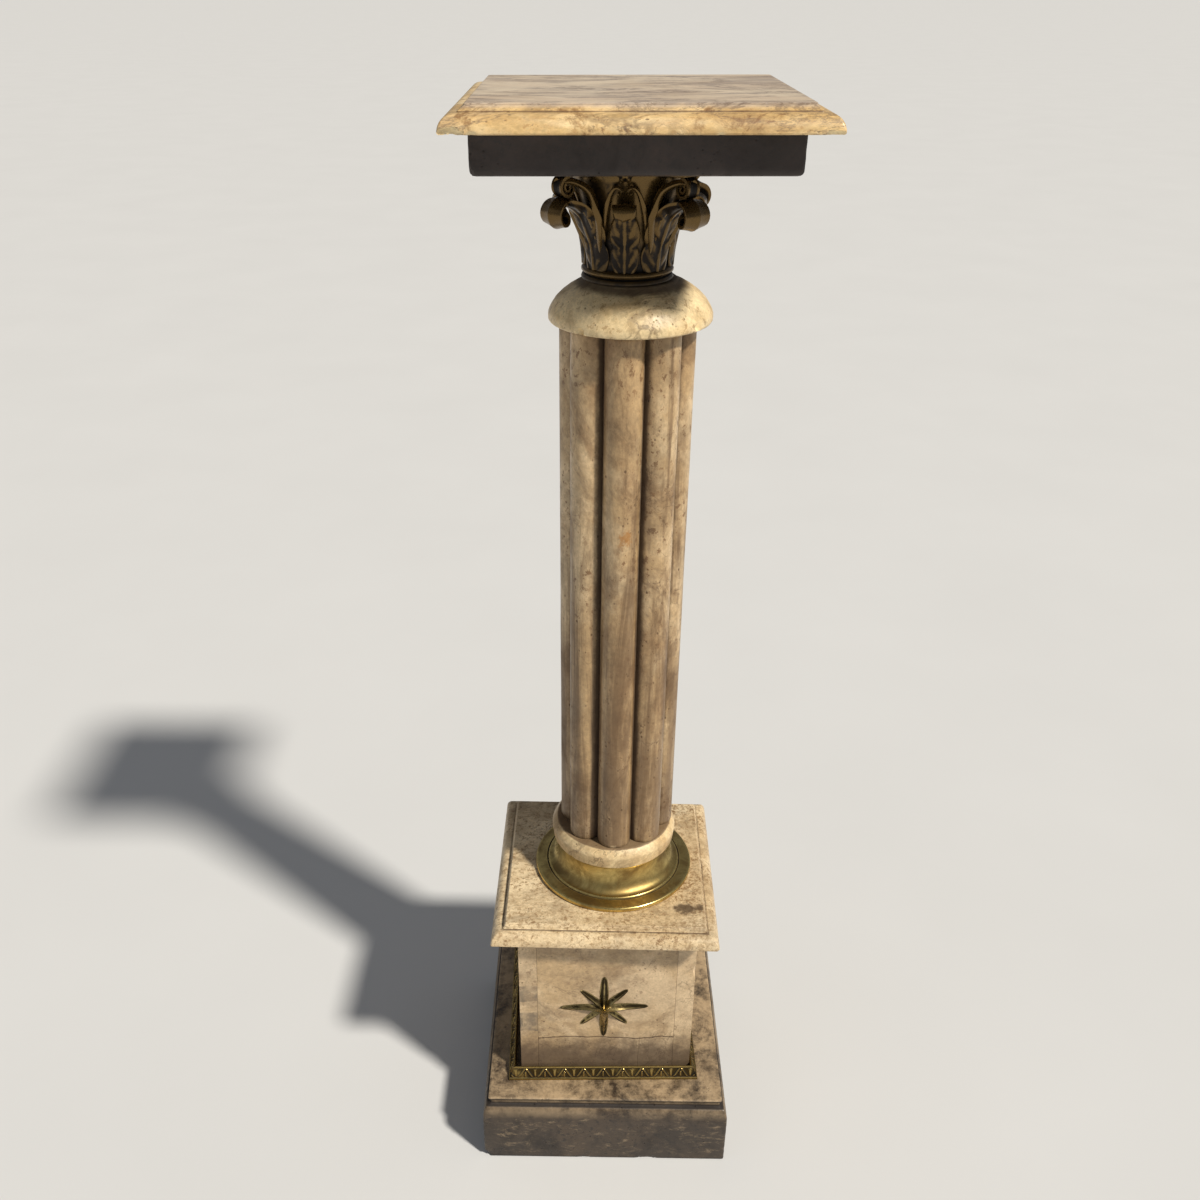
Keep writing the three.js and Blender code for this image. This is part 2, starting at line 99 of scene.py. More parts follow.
def knock(points, chips):
    """Push the surface back to the far side of each chip; return how freshly broken it is."""
    broken = np.zeros(len(points))
    for centre, size, inward in chips:
        centre, size = np.array(centre, float), np.array(size, float)
        inward = np.array(inward, float) / np.linalg.norm(inward)
        reached = np.abs((points - centre) / size).max(axis=1) < 1.5
        for i in np.nonzero(reached)[0]:
            rough = 1 + 0.28 * noise.noise(Vector(points[i]) * 0.35)
            q = (points[i] - centre) / (size * rough)
            d = inward / (size * rough)
            a, b, c = d @ d, 2 * q @ d, q @ q - 1
            if c < 0:
                points[i] += inward * (-b + sqrt(b * b - 4 * a * c)) / (2 * a)
                broken[i] = min(1.0, -4 * c)
    return broken


def stone_block(profile, half_x, half_y, ease, per_side, seed, chips):
    """A squared block with knocked edges; the profile holds (how far in from the face, height)."""
    rings = []
    for inset, z in profile:
        worn = [abs(noise.noise(Vector((k * 7.3, seed, z * 0.09)))) for k in range(4)]
        radii = [ease * (1 + 1.5 * w) for w in worn]
        walk = square_walk(half_x - inset, half_y - inset, radii, per_side)
        rings.append([(x, y, z) for x, y in walk])
    points, faces = skin(rings)
    return points, faces, knock(points, chips)


def turned(points, degrees):
    a = radians(degrees)
    x, y = points[:, 0], points[:, 1]
    return np.column_stack([x * cos(a) - y * sin(a), x * sin(a) + y * cos(a), points[:, 2]])


def stand(points, turn, nodes):
    """Set points, in millimetres from the middle of the underside, where the nodes stand."""
    low = np.min([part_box(node)[0] for node in nodes], axis=0)
    high = np.max([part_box(node)[1] for node in nodes], axis=0)
    return turned(points, turn) * MM + ((low[0] + high[0]) / 2, (low[1] + high[1]) / 2, low[2])


def put(name, data):
    thing = bpy.data.objects.new(name, data)
    bpy.context.scene.collection.objects.link(thing)
    return thing


def make(name, points, faces, node, material, marks, turn=0.0, crease=35.0, among=None):
    """A piece for one node; a strip of a frame is drawn round the middle of the nodes it is among."""
    mesh = bpy.data.meshes.new(name)
    mesh.from_pydata(stand(points, turn, among or [node]).tolist(), [], faces)
    mesh.update()
    mesh.shade_smooth()
    mesh.set_sharp_from_angle(angle=radians(crease))
    for label, values in marks.items():
        layer = mesh.attributes.new(label, "FLOAT", "POINT")
        layer.data.foreach_set("value", np.asarray(values, np.float32))
    mesh.materials.append(material)
    piece = put(name, mesh)
    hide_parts(node)
    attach(piece, "root")


def near(values, level, reach):
    """1 at the level, falling to 0 over the reach to either side."""
    return np.clip(1 - np.abs(values - level) / reach, 0, 1)


def above(values, level, reach):
    """0 up to the level, rising to 1 over the reach."""
    return np.clip((values - level) / reach, 0, 1)


def node_in(tree, kind, values=None, **settings):
    made = tree.nodes.new("ShaderNode" + kind)
    for key, value in settings.items():
        setattr(made, key, value)
    for key, value in (values or {}).items():
        if isinstance(value, bpy.types.NodeSocket):
            tree.links.new(value, made.inputs[key])
        else:
            made.inputs[key].default_value = value
    return made


def calc(tree, operation, *values, clamp=False):
    made = node_in(tree, "Math", dict(enumerate(values)), operation=operation, use_clamp=clamp)
    return made.outputs[0]


def times(tree, a, b, clamp=False):
    return calc(tree, "MULTIPLY", a, b, clamp=clamp)


def scaled(tree, value, factor, plus, clamp=False):
    return calc(tree, "MULTIPLY_ADD", value, factor, plus, clamp=clamp)


def gap(tree, value, level):
    """How far a value is from a level, to either side."""
    return calc(tree, "ABSOLUTE", calc(tree, "SUBTRACT", value, level))


def shift(tree, operation, a, b):
    return node_in(tree, "VectorMath", {0: a, 1: b}, operation=operation).outputs[0]


def tint(tree, amount, a, b, mode="MIX"):
    made = node_in(tree, "Mix", {0: amount, 6: a, 7: b}, data_type="RGBA", blend_type=mode)
    return made.outputs[2]


def rise(tree, value, low, high, to_low=0.0, to_high=1.0):
    made = node_in(tree, "MapRange", {0: value, 1: low, 2: high, 3: to_low, 4: to_high},
                   interpolation_type="SMOOTHSTEP")
    return made.outputs[0]


def grain(tree, place, scale, detail=4.0, roughness=0.55, distortion=0.0):
    made = node_in(tree, "TexNoise", {"Vector": place, "Scale": scale, "Detail": detail,
                                      "Roughness": roughness, "Distortion": distortion})
    return made.outputs["Fac"]


def mark(tree, label):
    return node_in(tree, "Attribute", attribute_name=label).outputs["Fac"]


def axes(tree, place):
    return node_in(tree, "SeparateXYZ", {0: place}).outputs


def far_from(tree, place, spot, scale):
    """Distance from a spot, in units of its own size along each axis."""
    away = shift(tree, "MULTIPLY", shift(tree, "SUBTRACT", place, spot), scale)
    return node_in(tree, "VectorMath", {0: away}, operation="LENGTH").outputs["Value"]


def group_of(name, inputs, outputs):
    group = bpy.data.node_groups.new(name, "ShaderNodeTree")
    for way, sockets in (("INPUT", inputs), ("OUTPUT", outputs)):
        for label, kind in sockets.items():
            group.interface.new_socket(label, in_out=way, socket_type="NodeSocket" + kind)
    return group, group.nodes.new("NodeGroupInput").outputs, group.nodes.new("NodeGroupOutput").inputs


def placed(tree, group, values):
    return node_in(tree, "Group", values, node_tree=group).outputs


def shade(r, g, b):
    """Linear value of a tone given as 0 to 255."""
    linear = (v / 255 / 12.92 if v < 11 else ((v / 255 + 0.055) / 1.055) ** 2.4 for v in (r, g, b))
    return (*linear, 1.0)


def figured_marble():
    """Clouding, veins, hairlines and pits of the stone."""
    g, given, out = group_of(
        "marble_figure",
        dict(Place="Vector", Pale="Color", Warm="Color", Stain="Color", Vein="Color", Staining="Float",
             Veining="Float", Pitting="Float"),
        dict(Color="Color", Roughness="Float", Height="Float"),
    )
    place = given["Place"]
    drift = node_in(g, "TexNoise", {"Vector": place, "Scale": 7.0, "Detail": 3.0}).outputs["Color"]
    bent = shift(g, "ADD", place, shift(g, "MULTIPLY", drift, (0.09, 0.09, 0.09)))
    cloud = rise(g, grain(g, bent, 9.0, 7.0, 0.66), 0.4, 0.6)
    blotch = rise(g, grain(g, bent, 24.0, 8.0, 0.7, 0.4), 0.46, 0.64)
    fleck = grain(g, place, 340.0, 4.0, 0.7)
    freckle = times(g, rise(g, grain(g, place, 170.0, 5.0, 0.72), 0.54, 0.62),
                    rise(g, grain(g, place, 19.0, 4.0), 0.4, 0.58, 0.15, 1.0))
    colour = tint(g, cloud, given["Pale"], given["Warm"])
    stains = calc(g, "MAXIMUM", times(g, blotch, 0.85), times(g, freckle, 1.3))
    colour = tint(g, times(g, stains, given["Staining"], clamp=True), colour, given["Stain"])
    bright = rise(g, fleck, 0.25, 0.75, 0.78, 1.16)
    grey = node_in(g, "CombineColor", {0: bright, 1: bright, 2: bright}).outputs[0]
    colour = tint(g, 1.0, colour, grey, "MULTIPLY")
    wide = gap(g, grain(g, bent, 6.0, 9.0, 0.6, 1.0), 0.5)
    thin = gap(g, grain(g, bent, 17.0, 9.0, 0.62, 0.8), 0.52)
    lines = calc(g, "MAXIMUM", rise(g, wide, 0.0, 0.022, 0.7, 0.0), rise(g, thin, 0.0, 0.012, 1.0, 0.0))
    patchy = rise(g, grain(g, place, 12.0, 2.0), 0.42, 0.62)
    veins = times(g, times(g, lines, patchy), given["Veining"], clamp=True)
    colour = tint(g, veins, colour, given["Vein"])
    small = node_in(g, "TexVoronoi", {"Vector": place, "Scale": 230.0}).outputs["Distance"]
    large = node_in(g, "TexVoronoi", {"Vector": place, "Scale": 74.0}).outputs["Distance"]
    scattered = rise(g, grain(g, place, 34.0, 3.0), 0.5, 0.64)
    pits = calc(g, "MAXIMUM", times(g, rise(g, small, 0.1, 0.24, 0.8, 0.0), scattered),
                rise(g, large, 0.045, 0.09, 1.0, 0.0))
    pits = times(g, pits, given["Pitting"], clamp=True)
    colour = tint(g, times(g, pits, 0.8), colour, given["Vein"])
    g.links.new(colour, out["Color"])
    rough = calc(g, "ADD", scaled(g, blotch, 0.16, 0.36), times(g, pits, 0.35))
    g.links.new(rough, out["Roughness"])
    low = calc(g, "ADD", times(g, pits, -1.0), times(g, veins, -0.25))
    g.links.new(scaled(g, fleck, 0.12, low), out["Height"])
    return g


def soil_and_painted_shade():
    """Soil that lies in hollows and creeps over the stone in clouds; the same mask also lays painted shade
    where a piece marks it.
    """
    g, given, out = group_of(
        "soil_and_painted_shade",
        dict(Place="Vector", Color="Color", Soil="Color", Hollow="Float", Film="Float", Broken="Float",
             Fresh="Color"),
        dict(Color="Color", Mask="Float"),
    )
    ragged = grain(g, given["Place"], 60.0, 8.0, 0.7)
    clouds = grain(g, given["Place"], 16.0, 7.0, 0.66, 0.6)
    held = scaled(g, given["Hollow"], 0.75, times(g, ragged, 0.55))
    held = rise(g, held, 0.42, 0.85)
    film = times(g, rise(g, clouds, 0.4, 0.68), given["Film"], clamp=True)
    soil = calc(g, "MAXIMUM", held, film)
    colour = tint(g, times(g, given["Broken"], 0.7), given["Color"], given["Fresh"])
    g.links.new(tint(g, times(g, soil, 0.85), colour, given["Soil"]), out["Color"])
    g.links.new(soil, out["Mask"])
    return g


MARBLE_FIGURE = figured_marble()
SOIL_AND_PAINTED_SHADE = soil_and_painted_shade()


def begun(name):
    """A bare material, its node tree and the place on the piece."""
    material = bpy.data.materials.new(name)
    material.use_nodes = True
    material.node_tree.nodes.clear()
    where = node_in(material.node_tree, "TexCoord").outputs["Object"]
    return material, material.node_tree, where


def finished(tree, height, strength, relief, surface):
    bump = node_in(tree, "Bump", {"Height": height, "Strength": strength, "Distance": relief})
    finish = node_in(tree, "BsdfPrincipled", {**surface, "Normal": bump.outputs[0]})
    node_in(tree, "OutputMaterial", {0: finish.outputs[0]})


def marble(name, tones, staining, veining, pitting, film, offset, stretch=(1, 1, 1), relief=0.0006,
           extra=None):
    """Figured stone in five tones: pale, warm, stain, vein and the soil that lies on it."""
    pale, warm, stain, vein, soil = (shade(*tone) for tone in tones)
    material, tree, where = begun(name)
    place = shift(tree, "ADD", shift(tree, "MULTIPLY", where, stretch), offset)
    figure = placed(tree, MARBLE_FIGURE, {
        "Place": place, "Pale": pale, "Warm": warm, "Stain": stain, "Vein": vein,
        "Staining": staining, "Veining": veining, "Pitting": pitting,
    })
    colour, height = figure["Color"], figure["Height"]
    if extra:
        colour, height = extra(tree, where, colour, height)
    dirty = placed(tree, SOIL_AND_PAINTED_SHADE, {
        "Place": where, "Color": colour, "Soil": soil, "Hollow": mark(tree, "hollow"), "Film": film,
        "Broken": mark(tree, "broken"), "Fresh": tuple(min(1.0, 1.15 * v) for v in pale[:3]) + (1.0,),
    })
    rough = scaled(tree, dirty["Mask"], 0.3, figure["Roughness"], clamp=True)
    finished(tree, height, 0.6, relief, {"Base Color": dirty["Color"], "Roughness": rough, "IOR": 1.5})
    return material


plinth_profile = worked(
    [(3.0, 0.0), (1.0, 0.3), (0.3, 1.1), (0.0, 2.4), (0.0, 59.0)]
    + [(PLINTH_HALF - x, z) for x, z in ovolo(PLINTH_NECK, 60.0, PLINTH_HALF, 76.2, 11)]
    + [(6.6, 76.6), (7.9, 77.4), (8.3, 79.6), (8.0, 82.4), (7.2, 83.8), (6.2, 84.5), (6.0, 85.2), (6.2, 86.2),
       (7.2, 86.8), (11.0, 86.8)],
    1.9,
)
points, faces, broken = stone_block(
    plinth_profile, PLINTH_HALF, PLINTH_HALF, ease=1.6, per_side=150, seed=1.0, chips=[
        ((-131, -131, 1), (8, 8, 9), (1, 1, 0.8)),
        ((129, -129, 87), (9, 8, 5), (-1, 1, -0.8)),
        ((46, -131, 0), (13, 3, 5), (0, 1, 0.8)),
        ((-20, -131, 0), (7, 2.6, 3), (0, 1, 0.8)),
        ((92, -130, 78), (7, 4, 4), (0, 1, -0.4)),
        ((131, 40, 1), (3, 10, 5), (-1, 0, 0.8)),
        ((-124, 118, 88), (6, 9, 3.5), (1, -1, -1)),
    ],
)
height = points[:, 2]
# The fillet's two dark lines are soil and painted shade; the rise over the ovolo and top is rubbed stone and
# painted light.
plinth_sunk_soil_and_shade = 1.5 * np.maximum(near(height, SUNK_LINES[0], 1.9), near(height, SUNK_LINES[1], 1.7))
plinth_foot = 0.6 * near(height, 0, 9)
plinth_rubbed_and_lit = 0.03 + 0.4 * above(height, 62, 9) + 0.5 * above(height, 80, 5)
plinth_rubbed_and_lit *= 1 - np.clip(plinth_sunk_soil_and_shade, 0, 1)


def rubbed(tree, where, colour, height):
    """Cream stone shows in patches on the ovolo and the top, where the soil has been rubbed off; it is also
    painted light on these upper faces.
    """
    clouds = grain(tree, shift(tree, "ADD", where, (2.2, 5.1, 0.4)), 17.0, 8.0, 0.72, 0.6)
    speckle = grain(tree, where, 95.0, 7.0, 0.78)
    clean = rise(tree, scaled(tree, speckle, 0.8, clouds), 0.66, 1.08)
    clean = times(tree, clean, mark(tree, "rubbed"))
    streaky = grain(tree, shift(tree, "MULTIPLY", where, (60.0, 60.0, 150.0)), 1.0, 8.0, 0.8, 0.5)
    dots = times(tree, rise(tree, streaky, 0.5, 0.68), 0.5)
    clean = calc(tree, "MAXIMUM", clean, times(tree, dots, rise(tree, clouds, 0.38, 0.6)))
    return tint(tree, times(tree, clean, 0.9), colour, shade(196, 170, 134)), height


# The dark tones are soil, and on the front face partly painted shade.
make(
    "plinth_block", points, faces, "plinth",
    marble("plinth_marble_soil_and_shade", ((70, 56, 42), (50, 40, 31), (32, 25, 20), (24, 18, 14), (32, 25, 20)),
           staining=0.9, veining=0.6, pitting=1.0, film=0.25, offset=(1.3, 0.2, 4.1), relief=0.0012,
           extra=rubbed),
    {"broken": broken, "hollow": np.maximum(plinth_sunk_soil_and_shade, plinth_foot), "rubbed": plinth_rubbed_and_lit},
)

# Foot moulding. Four strips of stamped gilt brass, mitred at the corners and laid round the foot of
# the dado. A row of open pointed leaves with darts between them stands on the slope.
STRIP_INNER = 93.85
STRIP_OUTER = 101.6
STRIP_TURN = 1.3
LEAVES = 9
STRIP_NODES = ("foot_moulding_front", "foot_moulding_right", "foot_moulding_back", "foot_moulding_left")
STRIP_SLOPE = ((99.9, 2.9), (96.2, 12.0))


def brass_tarnish_and_shade():
    """Gilding worn to brass on the high parts, brown and green tarnish between; the hollow mask also lays
    painted shade where a piece marks it.
    """
    g, given, out = group_of(
        "brass_tarnish_and_shade",
        dict(Place="Vector", Bright="Color", Dull="Color", Dark="Color", Green="Color", Hollow="Float",
             Crest="Float", Tarnish="Float"),
        dict(Color="Color", Roughness="Float", Metallic="Float", Height="Float"),
    )
    place = given["Place"]
    clouds = grain(g, place, 34.0, 7.0, 0.66, 0.5)
    fine = grain(g, place, 420.0, 4.0, 0.65)
    speckle = grain(g, place, 130.0, 6.0, 0.7)
    worn = scaled(g, given["Crest"], -0.55, clouds)
    dull = times(g, rise(g, worn, 0.3, 0.62), given["Tarnish"], clamp=True)
    colour = tint(g, dull, given["Bright"], given["Dull"])
    colour = tint(g, rise(g, speckle, 0.55, 0.72, 0.0, 0.45), colour, given["Green"])
    held = scaled(g, given["Hollow"], 0.8, times(g, speckle, 0.5))
    held = rise(g, held, 0.36, 0.86)
    colour = tint(g, held, colour, given["Dark"])
    g.links.new(colour, out["Color"])
    rough = scaled(g, dull, 0.2, scaled(g, fine, 0.16, 0.18))
    g.links.new(scaled(g, held, 0.25, rough, clamp=True), out["Roughness"])
    g.links.new(scaled(g, held, -0.5, 1.0), out["Metallic"])
    g.links.new(scaled(g, speckle, 0.6, times(g, fine, 0.3)), out["Height"])
    return g


BRASS_TARNISH_AND_SHADE = brass_tarnish_and_shade()


def gilt(name, tones, tarnish, offset, relief=0.00025, metal=1.0):
    """Gilt brass in four tones: bright, dull, dark and green."""
    bright, dull, dark, green = (shade(*tone) for tone in tones)
    material, tree, where = begun(name)
    surface = placed(tree, BRASS_TARNISH_AND_SHADE, {
        "Place": shift(tree, "ADD", where, offset),
        "Bright": bright, "Dull": dull, "Dark": dark, "Green": green,
        "Hollow": mark(tree, "hollow"), "Crest": mark(tree, "crest"), "Tarnish": tarnish,
    })
    finished(tree, surface["Height"], 0.5, relief, {
        "Base Color": surface["Color"], "Roughness": surface["Roughness"],
        "Metallic": times(tree, surface["Metallic"], metal),
    })
    return material


def relief_marks(points, faces, reach=1.0, rounds=3):
    """How far each point lies in a hollow or on a crest, from its neighbours along the edges."""
    small = [face for face in faces if len(face) < 9]
    pairs = np.array([pair for face in small for pair in zip(face, face[1:] + face[:1])])
    pairs = np.vstack([pairs, pairs[:, ::-1]])
    quads = np.array([face for face in faces if len(face) == 4])
    a, b, c, d = (points[quads[:, k]] for k in range(4))
    cross = np.cross(c - a, d - b)
    normal = np.zeros_like(points)
    for k in range(4):
        np.add.at(normal, quads[:, k], cross)
    normal /= np.maximum(np.linalg.norm(normal, axis=1, keepdims=True), 1e-9)
    count = np.maximum(np.bincount(pairs[:, 0], minlength=len(points)), 1)

    def around(values):
        total = np.zeros((len(points),) + values.shape[1:])
        np.add.at(total, pairs[:, 0], values[pairs[:, 1]])
        return total / (count[:, None] if values.ndim > 1 else count)

    smooth = points
    for _ in range(rounds):
        smooth = around(smooth)
    bend = ((smooth - points) * normal).sum(axis=1) / reach
    bend = 0.5 * bend + 0.5 * around(bend)
    return {"hollow": np.clip(bend, 0, 1), "crest": np.clip(-bend, 0, 1)}


def leafed_strip():
    """A strip's bead, slope and top; the leaves and darts stand on the slope."""
    bead = worked([(STRIP_OUTER, 0.2), (STRIP_OUTER, 1.5), (101.2, 2.1), (100.4, 2.5), STRIP_SLOPE[0]], 0.5)
    slope = worked(STRIP_SLOPE, 0.4)
    top = worked([STRIP_SLOPE[1], (96.5, 12.7), (96.2, 13.6), (95.4, 14.0), (94.6, 13.8),
                  (STRIP_INNER, 13.0), (STRIP_INNER, 0.2)], 0.8)
    pitch = 2 * STRIP_INNER / LEAVES
    across = np.linspace(-1, 1, 420)
    rings = []
    for out, z in bead[:-1] + slope + top[1:]:
        v = np.clip((z - 2.9) / 9.1, 0, 1) if (out, z) in slope else None
        ring = []
        for u in across:
            x = u * (out - 0.2)
            lift = 0.0
            if v is not None:
                local = (x / pitch + 0.5) % 1.0 - 0.5
                half = 6.6 * (1 - v) + 0.5
                leg = exp(-((abs(local * pitch) - half) / 0.95) ** 2)
                vein = 0.75 * exp(-(local * pitch / 0.7) ** 2) * (v < 0.62)
                dart = (abs(local) - 0.5) * pitch
                point = 0.8 * exp(-(dart / (0.5 + 2.1 * v)) ** 2) * (v > 0.12)
                lift = 0.95 * max(leg, vein, point) * min(1, 6 * v + 0.2, 6 * (1 - v) + 0.2)
            ring.append((x, -(out + 0.9 * lift), z + 0.4 * lift))
        rings.append(ring)
    rings = [list(ring) for ring in zip(*rings)]
    return skin(rings[::-1])


points, faces = leafed_strip()
marks = relief_marks(points, faces, 0.14, 4)
strip_brass = gilt("moulding_gilding", ((168, 144, 88), (80, 66, 40), (26, 20, 13), (66, 64, 44)),
                   tarnish=1.5, offset=(0.3, 0.1, 0.7))
for quarter_turn, node in enumerate(STRIP_NODES):
    make(node.replace("foot_moulding", "leaf_strip"), points, faces, node, strip_brass,
         marks, 90 * quarter_turn + STRIP_TURN, among=STRIP_NODES)

# Dado. Four marble slabs set on edge as a hollow box: the side slabs run the full depth and the
# front and back ones are let in between them, so two hairline joints show on the front. The front
# panel is cracked across, low down, and two patches on the left slab are stained dark.
DADO_TURN = 2.2
SLAB = 18.5
SLAB_HEIGHT = 203.4
SIDE_HALF = 90.5
FRONT_HALF = 71.8
FRONT_ONLY = -0.06
CRACK_HEIGHT = 0.1400
FORK_X = 0.031
PATCHES = ((0.2085, 0.0115), (0.1680, 0.0140))


def bruised_edges(height):
    foot = [(0.9, 0.0), (0.3, 0.25), (0.0, 0.9)]
    return worked(foot + [(inset, height - z) for inset, z in foot[::-1]], 4.0)


def cracked(tree, where, colour, height):
    """A crack that wanders across the front face, with a faint fork below it."""
    apart = axes(tree, where)
    wander = grain(tree, where, 26.0, 5.0, 0.5)
    below = calc(tree, "SUBTRACT", CRACK_HEIGHT - 0.008, apart["Z"])
    line = calc(tree, "ABSOLUTE", scaled(tree, wander, 0.016, below))
    crack = rise(tree, line, 0.0003, 0.0011, 1.0, 0.0)
    side = gap(tree, scaled(tree, wander, 0.006, apart["X"]), FORK_X)
    fork = rise(tree, side, 0.0002, 0.0008, 0.3, 0.0)
    fork = times(tree, fork, calc(tree, "LESS_THAN", apart["Z"], CRACK_HEIGHT))
    crack = calc(tree, "MAXIMUM", crack, fork)
    crack = times(tree, crack, calc(tree, "LESS_THAN", apart["Y"], FRONT_ONLY))
    colour = tint(tree, times(tree, crack, 0.75), colour, shade(74, 48, 32))
    return colour, scaled(tree, crack, -1.6, height)


def patched(tree, where, colour, height):
    """Two dark patches on the narrow end that shows at the front."""
    apart = axes(tree, where)
    ragged = grain(tree, where, 90.0, 4.0, 0.5)
    level = scaled(tree, ragged, 0.005, apart["Z"])
    upper, lower = (rise(tree, gap(tree, level, middle), half - 0.0012, half, 1.0, 0.0)
                    for middle, half in PATCHES)
    patches = calc(tree, "MAXIMUM", upper, lower)
    front = calc(tree, "LESS_THAN", apart["Y"], FRONT_ONLY)
    left = calc(tree, "LESS_THAN", apart["X"], 0.0)
    patches = times(tree, times(tree, patches, front), left)
    strength = times(tree, patches, rise(tree, ragged, 0.35, 0.65, 0.25, 0.8))
    return tint(tree, strength, colour, shade(112, 100, 84)), height


DADO_TONES = ((216, 190, 152), (186, 158, 118), (132, 106, 78), (70, 52, 38), (74, 58, 44))
for node, half_x, half_y, extra, offset, chips in (
    ("dado_left", SLAB / 2, SIDE_HALF, patched, (3.1, 1.7, 0.4),
     [((-SLAB / 2, -SIDE_HALF, 76), (2.4, 2.4, 5), (1, 1, 0))]),
    ("dado_right", SLAB / 2, SIDE_HALF, None, (5.2, 0.3, 2.2),
     [((SLAB / 2, -SIDE_HALF, 148), (2.4, 2.4, 5), (-1, 1, 0))]),
    ("dado_front", FRONT_HALF, SLAB / 2, cracked, (0.7, 2.9, 1.1), []),
    ("dado_back", FRONT_HALF, SLAB / 2, None, (4.4, 4.1, 3.3), []),
):
    points, faces, broken = stone_block(
        bruised_edges(SLAB_HEIGHT), half_x, half_y, ease=0.1, per_side=48, seed=offset[0], chips=chips)
    # Darker towards the foot, and a band of painted shade along the top, under the middle slab's edge.
    shaded_top_darker_foot = 1.1 * near(points[:, 2], 0, 84) + 0.7 * above(points[:, 2], 186, 18)
    make(
        node + "_slab", points, faces, node,
        marble(node + "_marble", DADO_TONES, staining=0.6, veining=0.5, pitting=0.8, film=0.35,
               offset=offset, extra=extra),
        {"broken": broken, "hollow": shaded_top_darker_foot}, DADO_TURN,
    )

# Star. A cast gilt brass star with eight ridged petals, long ones upright and level, short ones
# between them. It is pinned flat on the front slab and rises to its middle.
LONG_PETAL, SHORT_PETAL, UPRIGHT_PETAL = (46.2, 9.4, 8.4), (34.6, 8.2, 7.0), (43.0, 9.4, 8.4)
STAR_BACK = 4.7
STAR_MIDDLE = 43.4


def star_petal(length, width, peak, rows=30, columns=15):
    rings = []
    for r in range(rows + 1):
        s = r / rows
        half = width / 2 * (0.2 + 0.8 * sin(pi * min(1, 0.14 + 0.8 * s)) ** 0.75)
        half *= sqrt(max(0.0, 1 - max(0.0, (s - 0.9) / 0.1) ** 2)) * 0.92 + 0.08
        ridge = 1.2 + (peak - 1.2) * (1 - s) ** 1.25
        face = []
        for c in range(columns):
            t = 2 * c / (columns - 1) - 1
            fall = 1 - abs(t) ** 0.85
            groove = 0.22 * sin(pi * abs(t)) * cos(9 * pi * s + 2.4 * abs(t))
            face.append((s * length, t * half, 0.75 + (ridge - 0.4) * fall - groove * fall))
        rings.append([(s * length, -half, 0.1), *face, (s * length, half, 0.1)])
    return skin([ring[::-1] for ring in rings][::-1])


def faced_out(points, faces):
    """Turn the faces of a closed skin over if they look inward."""
    inside = sum(np.dot(points[f[0]], np.cross(points[f[k]], points[f[k + 1]])) for f in faces
                 for k in range(1, len(f) - 1))
    return faces if inside > 0 else [face[::-1] for face in faces]


def gathered(parts):
    points, faces, start = [], [], 0
    for part_points, part_faces in parts:
        part_faces = faced_out(part_points, part_faces)
        points.append(part_points)
        faces += [tuple(i + start for i in face) for face in part_faces]
        start += len(part_points)
    return np.vstack(points), faces


petals = []
for k, petal in enumerate((LONG_PETAL, SHORT_PETAL, UPRIGHT_PETAL, SHORT_PETAL) * 2):
    petal_points, petal_faces = star_petal(*petal)
    petals.append((turned(petal_points, 45 * k), petal_faces))
points, faces = gathered(petals)
marks = relief_marks(points, faces, 0.5, 3)
marks["hollow"] = np.maximum(marks["hollow"], 0.9 * near(points[:, 2], 0, 1.6))
points = np.column_stack([points[:, 0] - 0.15, STAR_BACK - points[:, 2], points[:, 1] + STAR_MIDDLE])
make(
    "star", points, faces, "dado_star",
    gilt("star_gilding", ((160, 142, 96), (58, 49, 32), (27, 22, 15), (52, 53, 37)),
         tarnish=1.9, offset=(1.1, 0.4, 0.2)),
    marks, DADO_TURN,
)

# Middle slab. A square slab of paler marble laid on the dado: flat below, an ovolo edge, a small
# step and a slightly raised panel. Its top is open to the light and to dust, and is pitted.
def edge_of_slab(half, ovolo_run, panel_half, thickness, lip):
    """(how far in, height) from the underside up to the panel."""
    start = half - ovolo_run
    return worked(
        [(1.6 + lip, 0.0), (lip, 0.0), (0.35, 0.35), (0.0, 1.2)]
        + [(half - x, z) for x, z in ovolo(start, 1.2, half, 12.4, 12)]
        + [(half - start + 2.3, 12.55), (half - start + 2.5, 12.9), (half - start + 2.6, 13.6),
           (half - start + 3.2, 13.9), (half - panel_half - 0.5, thickness - 1.8),
           (half - panel_half - 0.1, thickness - 1.5), (half - panel_half, thickness - 0.5),
           (half - panel_half + 0.6, thickness - 0.05), (half - panel_half + 3.0, thickness)],
        1.3,
    )


MIDDLE_HALF = 112.5
MIDDLE_TURN = -0.8
STAIN_SPOT = (0.0735, -0.0740, 0.3090)
STAIN_SPREAD = (56.0, 85.0, 60.0)


def dusted(tree, where, colour, height):
    """Fine brown specks over the slab, thicker to the right, and a dark stain near a front corner."""
    across = rise(tree, axes(tree, where)["X"], -0.1, 0.1, 0.0, 0.03)
    specks = calc(tree, "ADD", grain(tree, where, 250.0, 6.0, 0.82), across)
    patchy = rise(tree, grain(tree, where, 19.0, 5.0, 0.66), 0.36, 0.6, 0.4, 1.0)
    specks = times(tree, rise(tree, specks, 0.5, 0.62), patchy)
    colour = tint(tree, specks, colour, shade(142, 110, 72))
    ragged = grain(tree, where, 120.0, 6.0, 0.75)
    away = scaled(tree, ragged, 2.4, far_from(tree, where, STAIN_SPOT, STAIN_SPREAD))
    return tint(tree, rise(tree, away, 1.5, 2.2, 0.85, 0.0), colour, shade(74, 56, 38)), height


